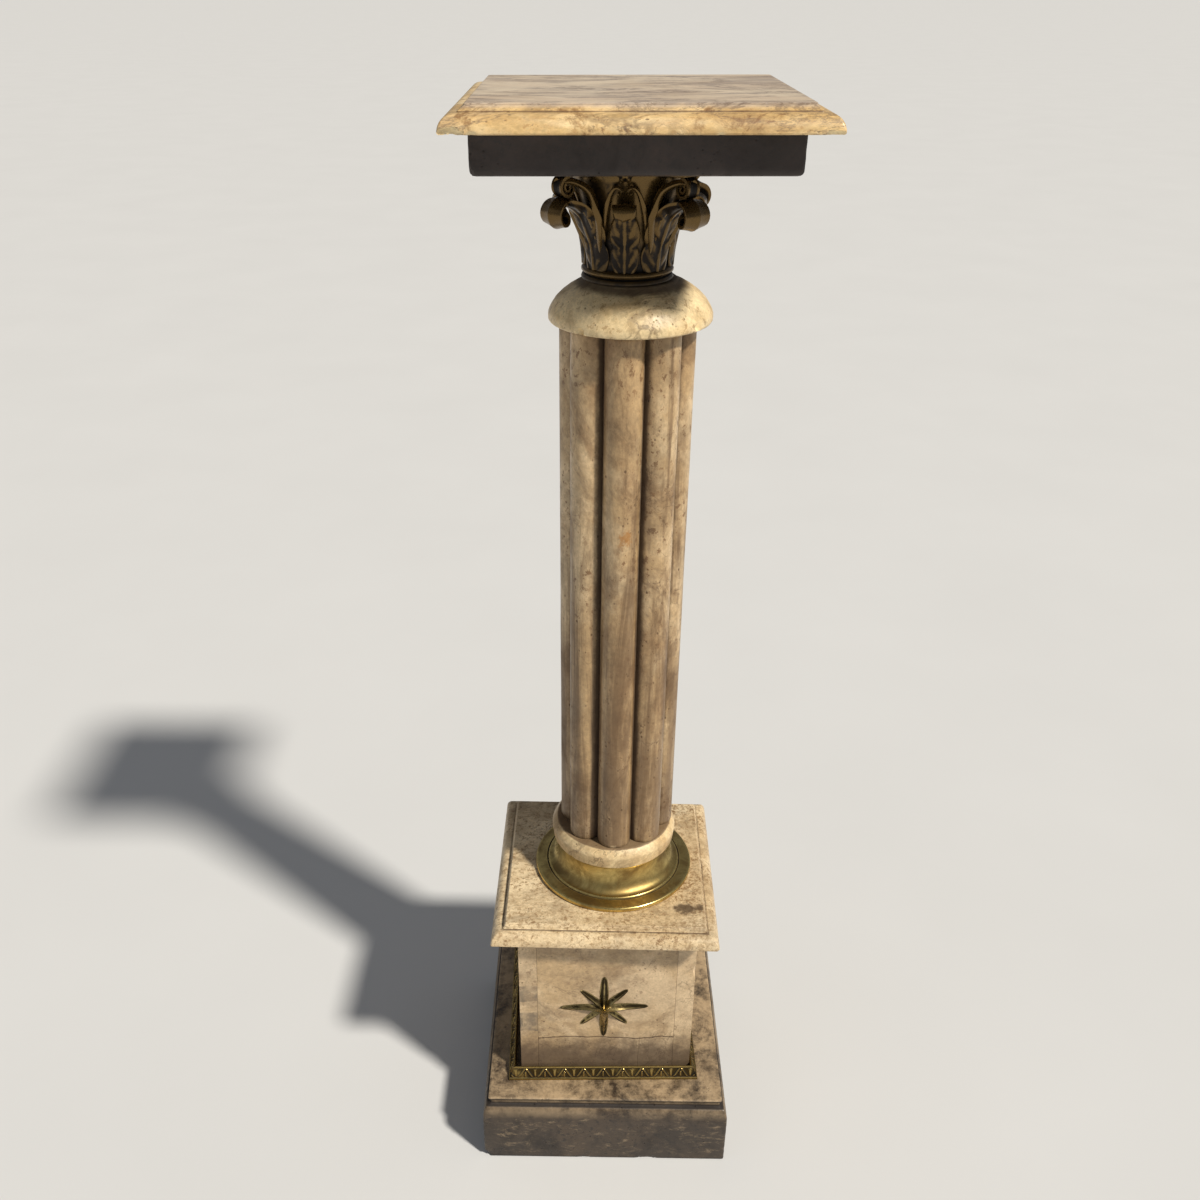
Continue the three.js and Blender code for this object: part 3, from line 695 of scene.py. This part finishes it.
middle_edge = edge_of_slab(MIDDLE_HALF, ovolo_run=9.2, panel_half=98.6, thickness=18.6, lip=0.9)
points, faces, broken = stone_block(
    middle_edge, MIDDLE_HALF, MIDDLE_HALF, ease=1.2, per_side=140, seed=2.0, chips=[
        ((-114.5, -113, 5), (4, 4, 4), (1, 1, 0.2)),
        ((113.5, -114, 0), (4, 4, 3), (-1, 1, 0.4)),
        ((32, -114.5, 7), (3, 2, 3), (0, 1, 0)),
        ((-58, -114.2, 0), (5, 1.6, 2), (0, 1, 0.4)),
        ((114, 50, 1), (2, 7, 2.6), (-1, 0, 0.4)),
    ],
)
# The step under the panel is darkened as painted shade below its arris.
middle_step_shade = 1.1 * near(points[:, 2], 13.0, 0.9) * (np.abs(points[:, :2]).max(axis=1) < 103)
make(
    "middle_slab_stone", points, faces, "middle_slab",
    marble("middle_slab_marble",
           ((240, 218, 178), (214, 188, 146), (132, 104, 68), (74, 54, 36), (84, 64, 44)),
           staining=0.5, veining=0.4, pitting=1.0, film=0.25, offset=(7.7, 1.9, 0.6),
           stretch=(1, 1.4, 1.6), extra=dusted),
    {"broken": broken, "hollow": middle_step_shade}, MIDDLE_TURN,
)

# Base ring. A spun gilt brass mount: a flat rim with a rounded edge, an incised line, and a smooth
# cove rising to a narrow neck and a plain collar under the marble disc.
RIM = 81.0


def spun(profile, step, around=160):
    turns = [2 * pi * i / around for i in range(around)]
    return skin([[(r * cos(a), r * sin(a), z) for a in turns] for r, z in worked(profile, step)])


def cove(foot_radius, foot, neck_radius, top, steps=18):
    run, climb = foot_radius - neck_radius, top - foot
    turn = np.linspace(0, pi / 2, steps)
    return [(foot_radius - run * sin(a), top - climb * cos(a)) for a in turn]


points, faces = spun(
    [(56.0, 0.1), (RIM - 1.6, 0.1), (RIM - 0.5, 0.5), (RIM, 1.5), (RIM, 3.6), (RIM - 0.5, 4.7),
     (RIM - 1.7, 5.3), (70.4, 6.3), (69.4, 6.4), (69.0, 5.7), (68.4, 5.7), (68.0, 6.6), (67.4, 7.6)]
    + cove(66.8, 7.9, 54.1, 34.6)
    + [(54.1, 35.4), (55.4, 36.2), (58.1, 36.8), (58.8, 37.6), (58.8, 38.9), (58.2, 39.5), (53.0, 39.6)],
    0.9,
)
marks = relief_marks(points, faces, 0.5, 2)
incised = near(np.hypot(points[:, 0], points[:, 1]), 68.8, 1.1)
# The incised line is tarnish; the band at the neck is tarnish and painted shade under the marble disc.
marks["hollow"] = np.maximum(marks["hollow"], incised + 0.8 * near(points[:, 2], 35.4, 2.2))
make(
    "base_ring_mount", points, faces, "base_ring",
    gilt("ring_gilding", ((212, 188, 120), (134, 110, 66), (46, 37, 24), (104, 92, 58)),
         tarnish=0.95, offset=(0.6, 2.4, 1.5)),
    marks, crease=50,
)

# Disc under the shaft. A round of marble standing in the brass ring: a nearly upright side, a soft
# edge and a shoulder that slopes in to the feet of the reeds.
points, faces = spun(
    [(50.0, 0.0), (60.3, 0.0), (61.0, 0.4), (61.4, 1.2), (62.7, 11.4), (62.8, 12.6), (62.4, 14.2),
     (61.3, 16.2), (59.7, 18.4), (57.9, 20.5), (57.0, 21.2), (56.0, 21.4), (50.0, 21.4)],
    step=1.2, around=200,
)
broken = knock(points, [
    ((20, -63, 13.5), (4, 2.4, 2.2), (0, 1, -1)),
    ((-45, -45, 0), (4, 4, 2), (1, 1, 1)),
])
make(
    "shaft_disc", points, faces, "shaft_foot",
    marble("disc_marble", ((240, 216, 168), (210, 178, 128), (150, 118, 80), (84, 60, 40), (96, 72, 48)),
           staining=0.5, veining=0.6, pitting=0.9, film=0.3, offset=(2.2, 6.1, 0.9)),
    {"broken": broken, "hollow": 0.8 * above(points[:, 2], 19.6, 1.4)},
)

# Shaft. A column of warm marble worked into eight round reeds that meet in sharp creases and run
# out straight through both ends. Brown dirt lies in the creases and at the ends, spread wider there
# as painted shade.
REEDS = 8
SHAFT_RADIUS = 56.3
REED_RADIUS = 16.4
REED_STEPS = 30
SHAFT_HEIGHT = 505.3
SHAFT_TURN = -4.4
reed_reach = SHAFT_RADIUS - REED_RADIUS
half_step = pi / REEDS
aside = reed_reach * sin(half_step)
crease_radius = reed_reach * cos(half_step) + sqrt(REED_RADIUS ** 2 - aside ** 2)
reed_sweep = atan2(crease_radius * sin(half_step), crease_radius * cos(half_step) - reed_reach)
reed_outline = []
for reed in range(REEDS):
    facing = -pi / 2 + reed * 2 * half_step
    for i in range(REED_STEPS):
        a = facing + reed_sweep * (2 * i / REED_STEPS - 1)
        reed_outline.append((reed_reach * cos(facing) + REED_RADIUS * cos(a),
                             reed_reach * sin(facing) + REED_RADIUS * sin(a)))
shaft_foot_levels = (0.0, 0.3, 1.0)
shaft_top_levels = (SHAFT_HEIGHT - 1.0, SHAFT_HEIGHT - 0.3, SHAFT_HEIGHT)
shaft_rings = []
for z in (*shaft_foot_levels, *np.linspace(4, SHAFT_HEIGHT - 4, 96), *shaft_top_levels):
    ease = 0.8 * max(0.0, 1 - min(z, SHAFT_HEIGHT - z)) ** 2
    ring = []
    for x, y in reed_outline:
        uneven = 0.22 * noise.noise(Vector((x * 0.05, y * 0.05, z * 0.012)))
        grown = 1 + (uneven - ease) / hypot(x, y)
        ring.append((x * grown, y * grown, z))
    shaft_rings.append(ring)
points, faces = skin(shaft_rings)
broken = knock(points, [
    ((0, -58, 0), (6, 2.5, 4), (0, 1, 0.6)),
    ((40, -41, SHAFT_HEIGHT), (4, 4, 3), (-1, 1, -0.6)),
    ((-41, -41, 300), (2.4, 2.4, 5), (1, 1, 0)),
])
depth = (SHAFT_RADIUS - np.hypot(points[:, 0], points[:, 1])) / (SHAFT_RADIUS - crease_radius)
from_end = np.minimum(points[:, 2], SHAFT_HEIGHT - points[:, 2])
# Dirt in the creases and at both ends, spread wider as painted shade.
shaft_soil_and_shade = np.maximum(1.3 * np.clip(depth, 0, 1) ** 2.2, 0.45 * near(from_end, 0, 7))
RUST = (
    ((0.0544, -0.0278, 0.7984), (0.0060, 0.0140, 0.0070)),
    ((0.0028, -0.0564, 0.7060), (0.0105, 0.0120, 0.0110)),
)


def run_stains(tree, where, colour, height):
    """Brown runs down the reeds, the shaft darker towards its foot, and two ragged spots of rust in front."""
    runs = grain(tree, shift(tree, "MULTIPLY", where, (62.0, 62.0, 5.0)), 1.0, 6.0, 0.66, 0.6)
    lower = rise(tree, axes(tree, where)["Z"], 0.36, 0.80, 0.19, 0.0)
    amount = rise(tree, calc(tree, "ADD", runs, lower), 0.5, 0.72, 0.0, 0.8)
    colour = tint(tree, amount, colour, shade(104, 78, 50))
    ragged = grain(tree, where, 210.0, 6.0, 0.75)
    for spot, size in RUST:
        away = far_from(tree, where, spot, tuple(1 / r for r in size))
        rust = rise(tree, scaled(tree, ragged, 2.6, away), 1.5, 2.1, 0.8, 0.0)
        colour = tint(tree, rust, colour, shade(158, 108, 48))
    return colour, height


make(
    "reeded_shaft", points, faces, "shaft",
    marble("shaft_marble", ((216, 190, 150), (182, 152, 110), (124, 94, 62), (70, 48, 32), (62, 45, 31)),
           staining=0.75, veining=0.55, pitting=0.9, film=0.42, offset=(0.9, 3.3, 8.2),
           stretch=(1, 1, 0.7), extra=run_stains),
    {"broken": broken, "hollow": shaft_soil_and_shade}, SHAFT_TURN,
)

# Cap. A turned marble round under the capital, nearly flat below, widest at its lower edge and domed
# above. Its top is painted darker where it meets the brass, and its lower edge too, as painted shade.
points, faces = spun(
    [(50.0, 0.1), (56.9, 0.1), (64.2, 1.2), (66.2, 1.8), (66.9, 2.9), (67.0, 5.0), (66.8, 7.4), (66.0, 9.8),
     (64.0, 13.4), (61.0, 17.8), (56.6, 22.2), (51.0, 26.4), (44.6, 30.2), (40.0, 32.2), (37.6, 33.4),
     (36.6, 34.4), (30.0, 34.4)],
    step=1.5, around=200,
)
broken = knock(points, [
    ((-40, -52, 4), (4, 3, 3), (1, 1, 0)),
    ((52, -42, 5), (3, 3, 4), (-1, 1, 0)),
])
cap_painted_shade = 0.9 * above(points[:, 2], 25.8, 7) + 0.5 * near(points[:, 2], 0, 2.5)
make(
    "domed_cap", points, faces, "shaft_cap",
    marble("cap_marble", ((240, 216, 168), (212, 180, 126), (146, 114, 74), (82, 58, 38), (70, 52, 36)),
           staining=0.55, veining=0.6, pitting=0.8, film=0.35, offset=(6.3, 0.8, 2.7)),
    {"broken": broken, "hollow": cap_painted_shade}, crease=60,
)

# Capital. A hollow casting in gilt brass, toned very dark all over as painted shade: a bell with a bead
# at its foot, a tall leaf on each face whose tip curls out, a broad acanthus leaf under each corner that
# rolls right over, stems that sweep up to corner scrolls, and a square plate with hollow sides on top.
CAPITAL_HEIGHT = 90.6
CAPITAL_TURN = -5.5
PLATE = 8.6
PLATE_HALF = 57.9
PLATE_CORNER = 11.6
PLATE_DIP = 12.8


def through(points, count):
    """Smooth curve through the points, evenly stepped, with the direction at each step."""
    p = np.array(points, float)
    p = np.vstack([2 * p[0] - p[1], p, 2 * p[-1] - p[-2]])
    fine = []
    for a, b, c, d in zip(p, p[1:], p[2:], p[3:]):
        for t in np.linspace(0, 1, 24, endpoint=False):
            fine.append(0.5 * (2 * b + (c - a) * t + (2 * a - 5 * b + 4 * c - d) * t ** 2
                               + (3 * b - a - 3 * c + d) * t ** 3))
    fine = np.array(fine + [p[-2]])
    travelled = np.concatenate([[0], np.cumsum(np.linalg.norm(np.diff(fine, axis=0), axis=1))])
    steps = np.linspace(0, travelled[-1], count)
    curve = np.column_stack([np.interp(steps, travelled, fine[:, k]) for k in range(fine.shape[1])])
    ahead = np.gradient(curve, axis=0)
    return curve, ahead / np.linalg.norm(ahead, axis=1, keepdims=True)


def acanthus(spine, width, lobes, hug, tip, rows=72, columns=29):
    """A leaf over a spine of (reach, height): lobed edge, midrib, and ribs running out to each lobe."""
    curve, ahead = through(spine, rows)
    rings = []
    for r in range(rows):
        s = r / (rows - 1)
        thick = 2.6 + (tip - 2.6) * np.clip((s - 0.5) / 0.25, 0, 1)
        body = 0.76 + 0.24 * sin(pi * min(1.0, s / 0.72))
        body *= sqrt(max(0.0, 1 - max(0.0, (s - 0.86) / 0.14) ** 2)) * 0.75 + 0.25
        lobe = abs(sin(pi * (lobes * s + 0.12))) ** 0.55
        half = width / 2 * body * (0.76 + 0.24 * lobe)
        outward = np.array([ahead[r][1], -ahead[r][0]])
        face, back = [], []
        for c in range(columns):
            t = 2 * c / (columns - 1) - 1
            fall = hug * (1 - 0.5 * s) * (t * half) ** 2
            rib = 1.9 * exp(-(t / 0.11) ** 2)
            swell = abs(sin(pi * (lobes * s + 0.12 - 0.55 * abs(t) * lobes / 4)))
            leaflet = 1.7 * swell ** 0.8 * sin(pi * min(1, abs(t) * 1.05)) ** 0.7
            vein = 0.5 * cos(2 * pi * (2 * lobes * s - 1.6 * abs(t))) * abs(t) * (1 - abs(t))
            lift = rib + leaflet + vein - fall - 0.9 * abs(t) ** 6
            place = curve[r] + outward * lift
            under = curve[r] - outward * (fall + thick * (1 - 0.55 * abs(t)))
            face.append((place[0], t * half, place[1]))
            back.insert(0, (under[0], t * half, under[1]))
        rings.append(face + back)
    return skin(rings)


def drawn(path, radius, count, around=12, flutes=0.0):
    """A stem of changing radius along a path in space."""
    curve, ahead = through(path, count)
    rings = []
    for k, (centre, forward) in enumerate(zip(curve, ahead)):
        side = np.cross(forward, (0, 0, 1.0))
        side /= max(1e-6, np.linalg.norm(side))
        over = np.cross(side, forward)
        r = np.interp(k / (count - 1), np.linspace(0, 1, len(radius)), radius)
        ring = []
        for i in range(around):
            a = 2 * pi * i / around
            q = r * (1 + flutes * cos(4 * a))
            ring.append(tuple(centre + side * q * cos(a) + over * q * sin(a)))
        rings.append(ring)
    return skin(rings)


def scroll(radius, width, turns, reach, height, steps=80):
    """A strap rolled into a volute, its axis level; the strap has raised rims."""
    left = [(-1.0, -0.2), (-1.0, 1.0), (-0.72, 1.15), (-0.6, 0.75)]
    section = left + [(0, 0.5)] + [(-across, up) for across, up in left[::-1]]
    rings = []
    for k in range(steps):
        s = k / (steps - 1)
        a = pi * 0.55 - 2 * pi * turns * s
        r = radius * (1 - 0.8 * s)
        thick = 1.9 * (1 - 0.4 * s)
        rings.append([
            (reach + (r - thick + thick * up) * cos(a), across * width / 2 * (1 - 0.1 * s),
             height + (r - thick + thick * up) * sin(a))
            for across, up in section
        ])
    return skin(rings[::-1])


def boss(radius, depth, petals, centre, rings=8, around=40):
    """A small rosette facing -Y."""
    layers = []
    for k in range(rings + 1):
        q = k / rings
        layer = []
        for i in range(around):
            a = 2 * pi * i / around
            r = radius * q * (1 + 0.16 * q * cos(petals * a)) + 0.05
            out = depth * (1 - q ** 2) + 0.5 * exp(-((q - 0.3) / 0.12) ** 2)
            layer.append((centre[0] + r * cos(a), centre[1] - out, centre[2] + r * sin(a)))
        layers.append(layer)
    return skin(layers[::-1])


def hollow_plate():
    """The plate's outline has hollow sides and cut corners; two mouldings run round it."""
    flat = PLATE_HALF - PLATE_CORNER
    side = [(t * flat, -PLATE_HALF + PLATE_DIP * (1 - t * t), 0) for t in np.linspace(-1, 1, 26)]
    side += [(flat + PLATE_CORNER * q, -PLATE_HALF + PLATE_CORNER * q, 0) for q in (0.25, 0.5, 0.75)]
    outline = np.vstack([turned(np.array(side), 90 * k) for k in range(4)])[:, :2]
    base = CAPITAL_HEIGHT - PLATE
    layers = [(0.9, 0.0), (0.925, 0.4), (0.93, 1.6), (0.935, 3.0), (0.955, 4.0), (0.962, 4.3), (0.975, 4.3),
              (0.993, 4.8), (1.0, 5.6), (1.0, 7.4), (0.994, 8.2), (0.985, PLATE)]
    return skin([[(x * f, y * f, base + z) for x, y in outline] for f, z in layers])


bell = spun(
    [(20.0, 0.1), (36.4, 0.1), (37.0, 1.2), (36.2, 3.0), (34.0, 4.4), (35.6, 5.2), (36.8, 6.4), (37.0, 7.6),
     (36.4, 8.8), (35.0, 9.8), (33.2, 11.0), (32.9, 14.0), (33.4, 26.0), (35.8, 45.0), (41.0, 63.0),
     (46.6, 79.0), (46.8, 83.0), (20.0, 83.0)],
    step=1.6, around=96,
)
corner_leaf = acanthus(
    [(34.6, 10.0), (35.8, 24.0), (41.0, 38.0), (46.6, 49.4), (55.6, 58.0), (64.0, 61.8), (70.4, 60.4),
     (73.4, 56.0), (72.2, 51.6), (68.6, 50.6), (66.4, 53.0), (67.6, 55.4)],
    width=32.0, lobes=4, hug=0.014, tip=6.2,
)
face_leaf = acanthus(
    [(34.8, 10.0), (36.2, 25.0), (40.2, 43.0), (46.6, 55.6), (51.6, 60.4), (55.8, 60.2), (57.0, 56.4),
     (54.8, 53.4)],
    width=24.0, lobes=3, hug=0.014, tip=3.4, rows=60, columns=25,
)
corner_scroll = scroll(radius=8.8, width=11.4, turns=1.9, reach=64.0, height=CAPITAL_HEIGHT - PLATE - 8.4)
flower = boss(radius=6.4, depth=3.6, petals=6, centre=(0, -46.4, 83.4))
stem_foot, stem_top = CAPITAL_HEIGHT * 0.26, CAPITAL_HEIGHT - PLATE
STEMS = (
    ([(19, -29.5, stem_foot), (19.6, -37, 42), (21.5, -42.6, 56), (27, -45, stem_top - 11),
      (38, -47.5, stem_top - 4.4), (48, -50.5, stem_top - 4.2)],
     [1.8, 2.6, 2.9, 2.7, 2.5, 2.2], 40, 12, 0.1),
    ([(16, -33, 40), (14.5, -40, 56), (11, -45, 68), (6.8, -48.5, 74), (2.8, -49.6, 73), (2.9, -49.6, 69.6),
      (5.2, -49.2, 70.4)],
     [1.2, 1.9, 2.1, 2.0, 1.7, 1.4, 1.0], 44, 10, 0.08),
    ([(22, -30, 32), (25, -36.5, 47), (31, -40.5, 58), (40, -44.5, 64)],
     [1.0, 2.3, 2.7, 0.7], 26, 10, 0.12),
)
stems = [
    drawn([(x * side, y, z) for x, y, z in path], *size) for side in (-1, 1) for path, *size in STEMS
]
capital_parts = [bell, hollow_plate()]
for face in range(4):
    on_face, on_corner = 90 * face, 90 * face - 45
    parts = [(corner_leaf, on_corner), (face_leaf, on_face), (corner_scroll, on_corner)]
    parts += [(part, on_face) for part in (*stems, flower)]
    capital_parts += [(turned(points, turn), faces) for (points, faces), turn in parts]
points, faces = gathered(capital_parts)
marks = relief_marks(points, faces, 0.5, 3)
# The core behind the leaves and the foot are darkened as painted shade, over the tarnish in the hollows.
far_in_painted_shade = 0.4 * (1 - above(np.hypot(points[:, 0], points[:, 1]), 33, 14))
low_down_painted_shade = near(points[:, 2], 0, 14)
marks["hollow"] = np.maximum(marks["hollow"], np.maximum(far_in_painted_shade, 0.6 * low_down_painted_shade))
make(
    "leafy_capital", points, faces, "capital",
    gilt("capital_gilding_painted_shade", ((104, 82, 46), (36, 28, 21), (15, 12, 10), (34, 30, 24)),
         tarnish=2.0, offset=(3.1, 0.2, 0.9), relief=0.0004, metal=0.75),
    marks, CAPITAL_TURN, crease=60,
)

# Capital block. A plain thick square of marble between the brass and the top slab, its lower edges
# worn round. It sits in the slab's shade, which is painted on as very dark brown tones, a dark band
# along the top and dimmed chips.
BLOCK_HALF = 113.8
UPPER_TURN = 0.3
block_profile = worked(
    [(6.0, 0.0), (3.6, 0.1), (2.0, 0.6), (0.8, 1.6), (0.15, 3.2), (0.0, 5.0), (0.0, 27.4), (0.3, 28.1),
     (1.2, 28.3)],
    2.2,
)
points, faces, broken = stone_block(
    block_profile, BLOCK_HALF, BLOCK_HALF, ease=1.4, per_side=120, seed=4.0, chips=[
        ((-114, -114, 2), (3.4, 3.4, 4), (1, 1, 0.6)),
        ((60, -115, 0), (8, 3, 4), (0, 1, 0.8)),
    ],
)
make(
    "capital_block_stone", points, faces, "capital_block",
    marble("block_marble_painted_shade", ((54, 39, 31), (42, 30, 24), (32, 23, 18), (22, 16, 13), (27, 19, 16)),
           staining=0.8, veining=0.5, pitting=0.7, film=0.6, offset=(8.8, 5.1, 0.3)),
    {"broken": broken * 0.5, "hollow": 0.6 * above(points[:, 2], 24, 4)}, UPPER_TURN,
)

# Top slab. The largest slab, square, with the same ovolo, step and raised panel. Its front corners
# are chipped below, and grey-brown streaks of the marble's bed run across its top.
TOP_HALF = 133.8


def streaks(tree, where, colour, height):
    bed = shift(tree, "MULTIPLY", where, (7.0, 17.0, 20.0))
    wave = grain(tree, bed, 1.0, 9.0, 0.72, 1.2)
    fine = grain(tree, shift(tree, "MULTIPLY", where, (40.0, 120.0, 90.0)), 1.0, 5.0, 0.7, 0.4)
    dark = times(tree, rise(tree, wave, 0.42, 0.58), rise(tree, fine, 0.36, 0.62, 0.35, 1.0))
    dark = times(tree, dark, mark(tree, "level"))
    colour = tint(tree, times(tree, mark(tree, "level"), 0.6), colour, shade(212, 200, 186))
    colour = tint(tree, times(tree, dark, 0.7), colour, shade(140, 126, 118))
    hair = rise(tree, gap(tree, wave, 0.55), 0.0, 0.02, 0.6, 0.0)
    colour = tint(tree, hair, colour, shade(112, 92, 78))
    brown = rise(tree, grain(tree, where, 31.0, 8.0, 0.72, 0.5), 0.52, 0.62)
    brown = times(tree, brown, calc(tree, "SUBTRACT", 1.0, mark(tree, "level"), clamp=True))
    return tint(tree, times(tree, brown, 0.75), colour, shade(128, 88, 46)), height


top_edge = edge_of_slab(TOP_HALF, ovolo_run=10.4, panel_half=116.7, thickness=18.0, lip=1.0)
points, faces, broken = stone_block(
    top_edge, TOP_HALF, TOP_HALF, ease=1.3, per_side=160, seed=5.0, chips=[
        ((-126, -135, 0.5), (12, 4.4, 5.0), (0.2, 1, 0.8)),
        ((-111, -134.5, -0.4), (4.4, 2.6, 3.2), (0, 1, 1)),
        ((128, -134.5, -0.6), (9, 3.4, 3.4), (0, 1, 0.9)),
        ((52, -134.8, -0.4), (5, 2.0, 2.2), (0, 1, 0.9)),
        ((-40, -134.6, 6), (3, 1.6, 2.4), (0, 1, 0)),
        ((134.5, 60, 0), (3, 8, 3.4), (-1, 0, 0.8)),
        ((-134, 96, 0), (1.6, 5, 2.6), (1, 0, 0.8)),
    ],
)
# The step under the panel is darkened as painted shade below its arris.
top_step_shade = near(points[:, 2], 13.1, 0.9) * (np.abs(points[:, :2]).max(axis=1) < 123)
make(
    "top_slab_stone", points, faces, "top_slab",
    marble("top_slab_marble", ((244, 219, 171), (220, 184, 124), (160, 120, 74), (92, 66, 44), (104, 80, 58)),
           staining=0.5, veining=0.7, pitting=0.9, film=0.25, offset=(4.9, 7.7, 2.0),
           stretch=(0.7, 1.6, 1.4), extra=streaks),
    {"broken": broken, "hollow": top_step_shade, "level": above(points[:, 2], 14.5, 2.5)}, UPPER_TURN,
)

# Floor, lights and camera. A plain pale floor, one soft light from high on the right and a
# weak one from the left, and a view from above the top slab, looking down at the front.
FLOOR_HALF = 120.0
floor_mesh = bpy.data.meshes.new("floor")
floor_corners = [(x * FLOOR_HALF, y * FLOOR_HALF, 0) for x, y in ((-1, -1), (1, -1), (1, 1), (-1, 1))]
floor_mesh.from_pydata(floor_corners, [], [(0, 1, 2, 3)])
floor_paint = bpy.data.materials.new("floor_paint")
floor_paint.use_nodes = True
floor_tree = floor_paint.node_tree
floor_noise = grain(floor_tree, node_in(floor_tree, "TexCoord").outputs["Object"], 3.0, 3.0)
floor_colour = tint(floor_tree, floor_noise, (0.62, 0.62, 0.61, 1), (0.66, 0.66, 0.65, 1))
floor_finish = floor_tree.nodes["Principled BSDF"]
floor_tree.links.new(floor_colour, floor_finish.inputs["Base Color"])
floor_finish.inputs["Roughness"].default_value = 0.8
floor_mesh.materials.append(floor_paint)
put("floor", floor_mesh)

world = bpy.data.worlds.new("studio")
world.use_nodes = True
world.node_tree.nodes["Background"].inputs[0].default_value = (0.9, 0.93, 1.0, 1)
world.node_tree.nodes["Background"].inputs[1].default_value = 0.2
bpy.context.scene.world = world


def soft_light(name, toward, softness, power, colour):
    light = bpy.data.lights.new(name, "SUN")
    light.angle = radians(softness)
    light.energy = power
    light.color = colour
    lamp = put(name, light)
    lamp.rotation_euler = Vector(toward).to_track_quat("-Z", "Y").to_euler()
    lamp.location = -2 * Vector(toward)


soft_light("key", (-0.70, 0.56, -1.0), softness=5, power=4.1, colour=(1.0, 0.95, 0.87))
soft_light("fill", (0.8, 0.5, -0.6), softness=50, power=0.12, colour=(0.88, 0.93, 1.0))

IMAGE_SIDE = 1200
FOCAL_PIXELS = 1177.1
IMAGE_CENTRE = (565.7, 644.3)
EYE = (-0.0233, -0.9646, 1.1261)
YAW, PITCH, ROLL = radians(-1.16), radians(29.90), radians(0.16)
camera = bpy.data.cameras.new("camera")
camera.sensor_fit = "HORIZONTAL"
camera.sensor_width = 36.0
camera.lens = FOCAL_PIXELS / IMAGE_SIDE * camera.sensor_width
camera.shift_x = 0.5 - IMAGE_CENTRE[0] / IMAGE_SIDE
camera.shift_y = IMAGE_CENTRE[1] / IMAGE_SIDE - 0.5
camera.clip_end = 400
viewer = put("camera", camera)
forward = Vector((sin(YAW) * cos(PITCH), cos(YAW) * cos(PITCH), -sin(PITCH)))
level_right = Vector((cos(YAW), -sin(YAW), 0))
level_down = forward.cross(level_right)
right = cos(ROLL) * level_right + sin(ROLL) * level_down
down = cos(ROLL) * level_down - sin(ROLL) * level_right
plinth_low, plinth_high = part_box("plinth")
viewer.matrix_world = Matrix.Translation((
    (plinth_low[0] + plinth_high[0]) / 2 + EYE[0], (plinth_low[1] + plinth_high[1]) / 2 + EYE[1], EYE[2],
)) @ Matrix((right, -down, -forward)).transposed().to_4x4()
bpy.context.scene.camera = viewer
bpy.context.scene.view_settings.view_transform = "Standard"
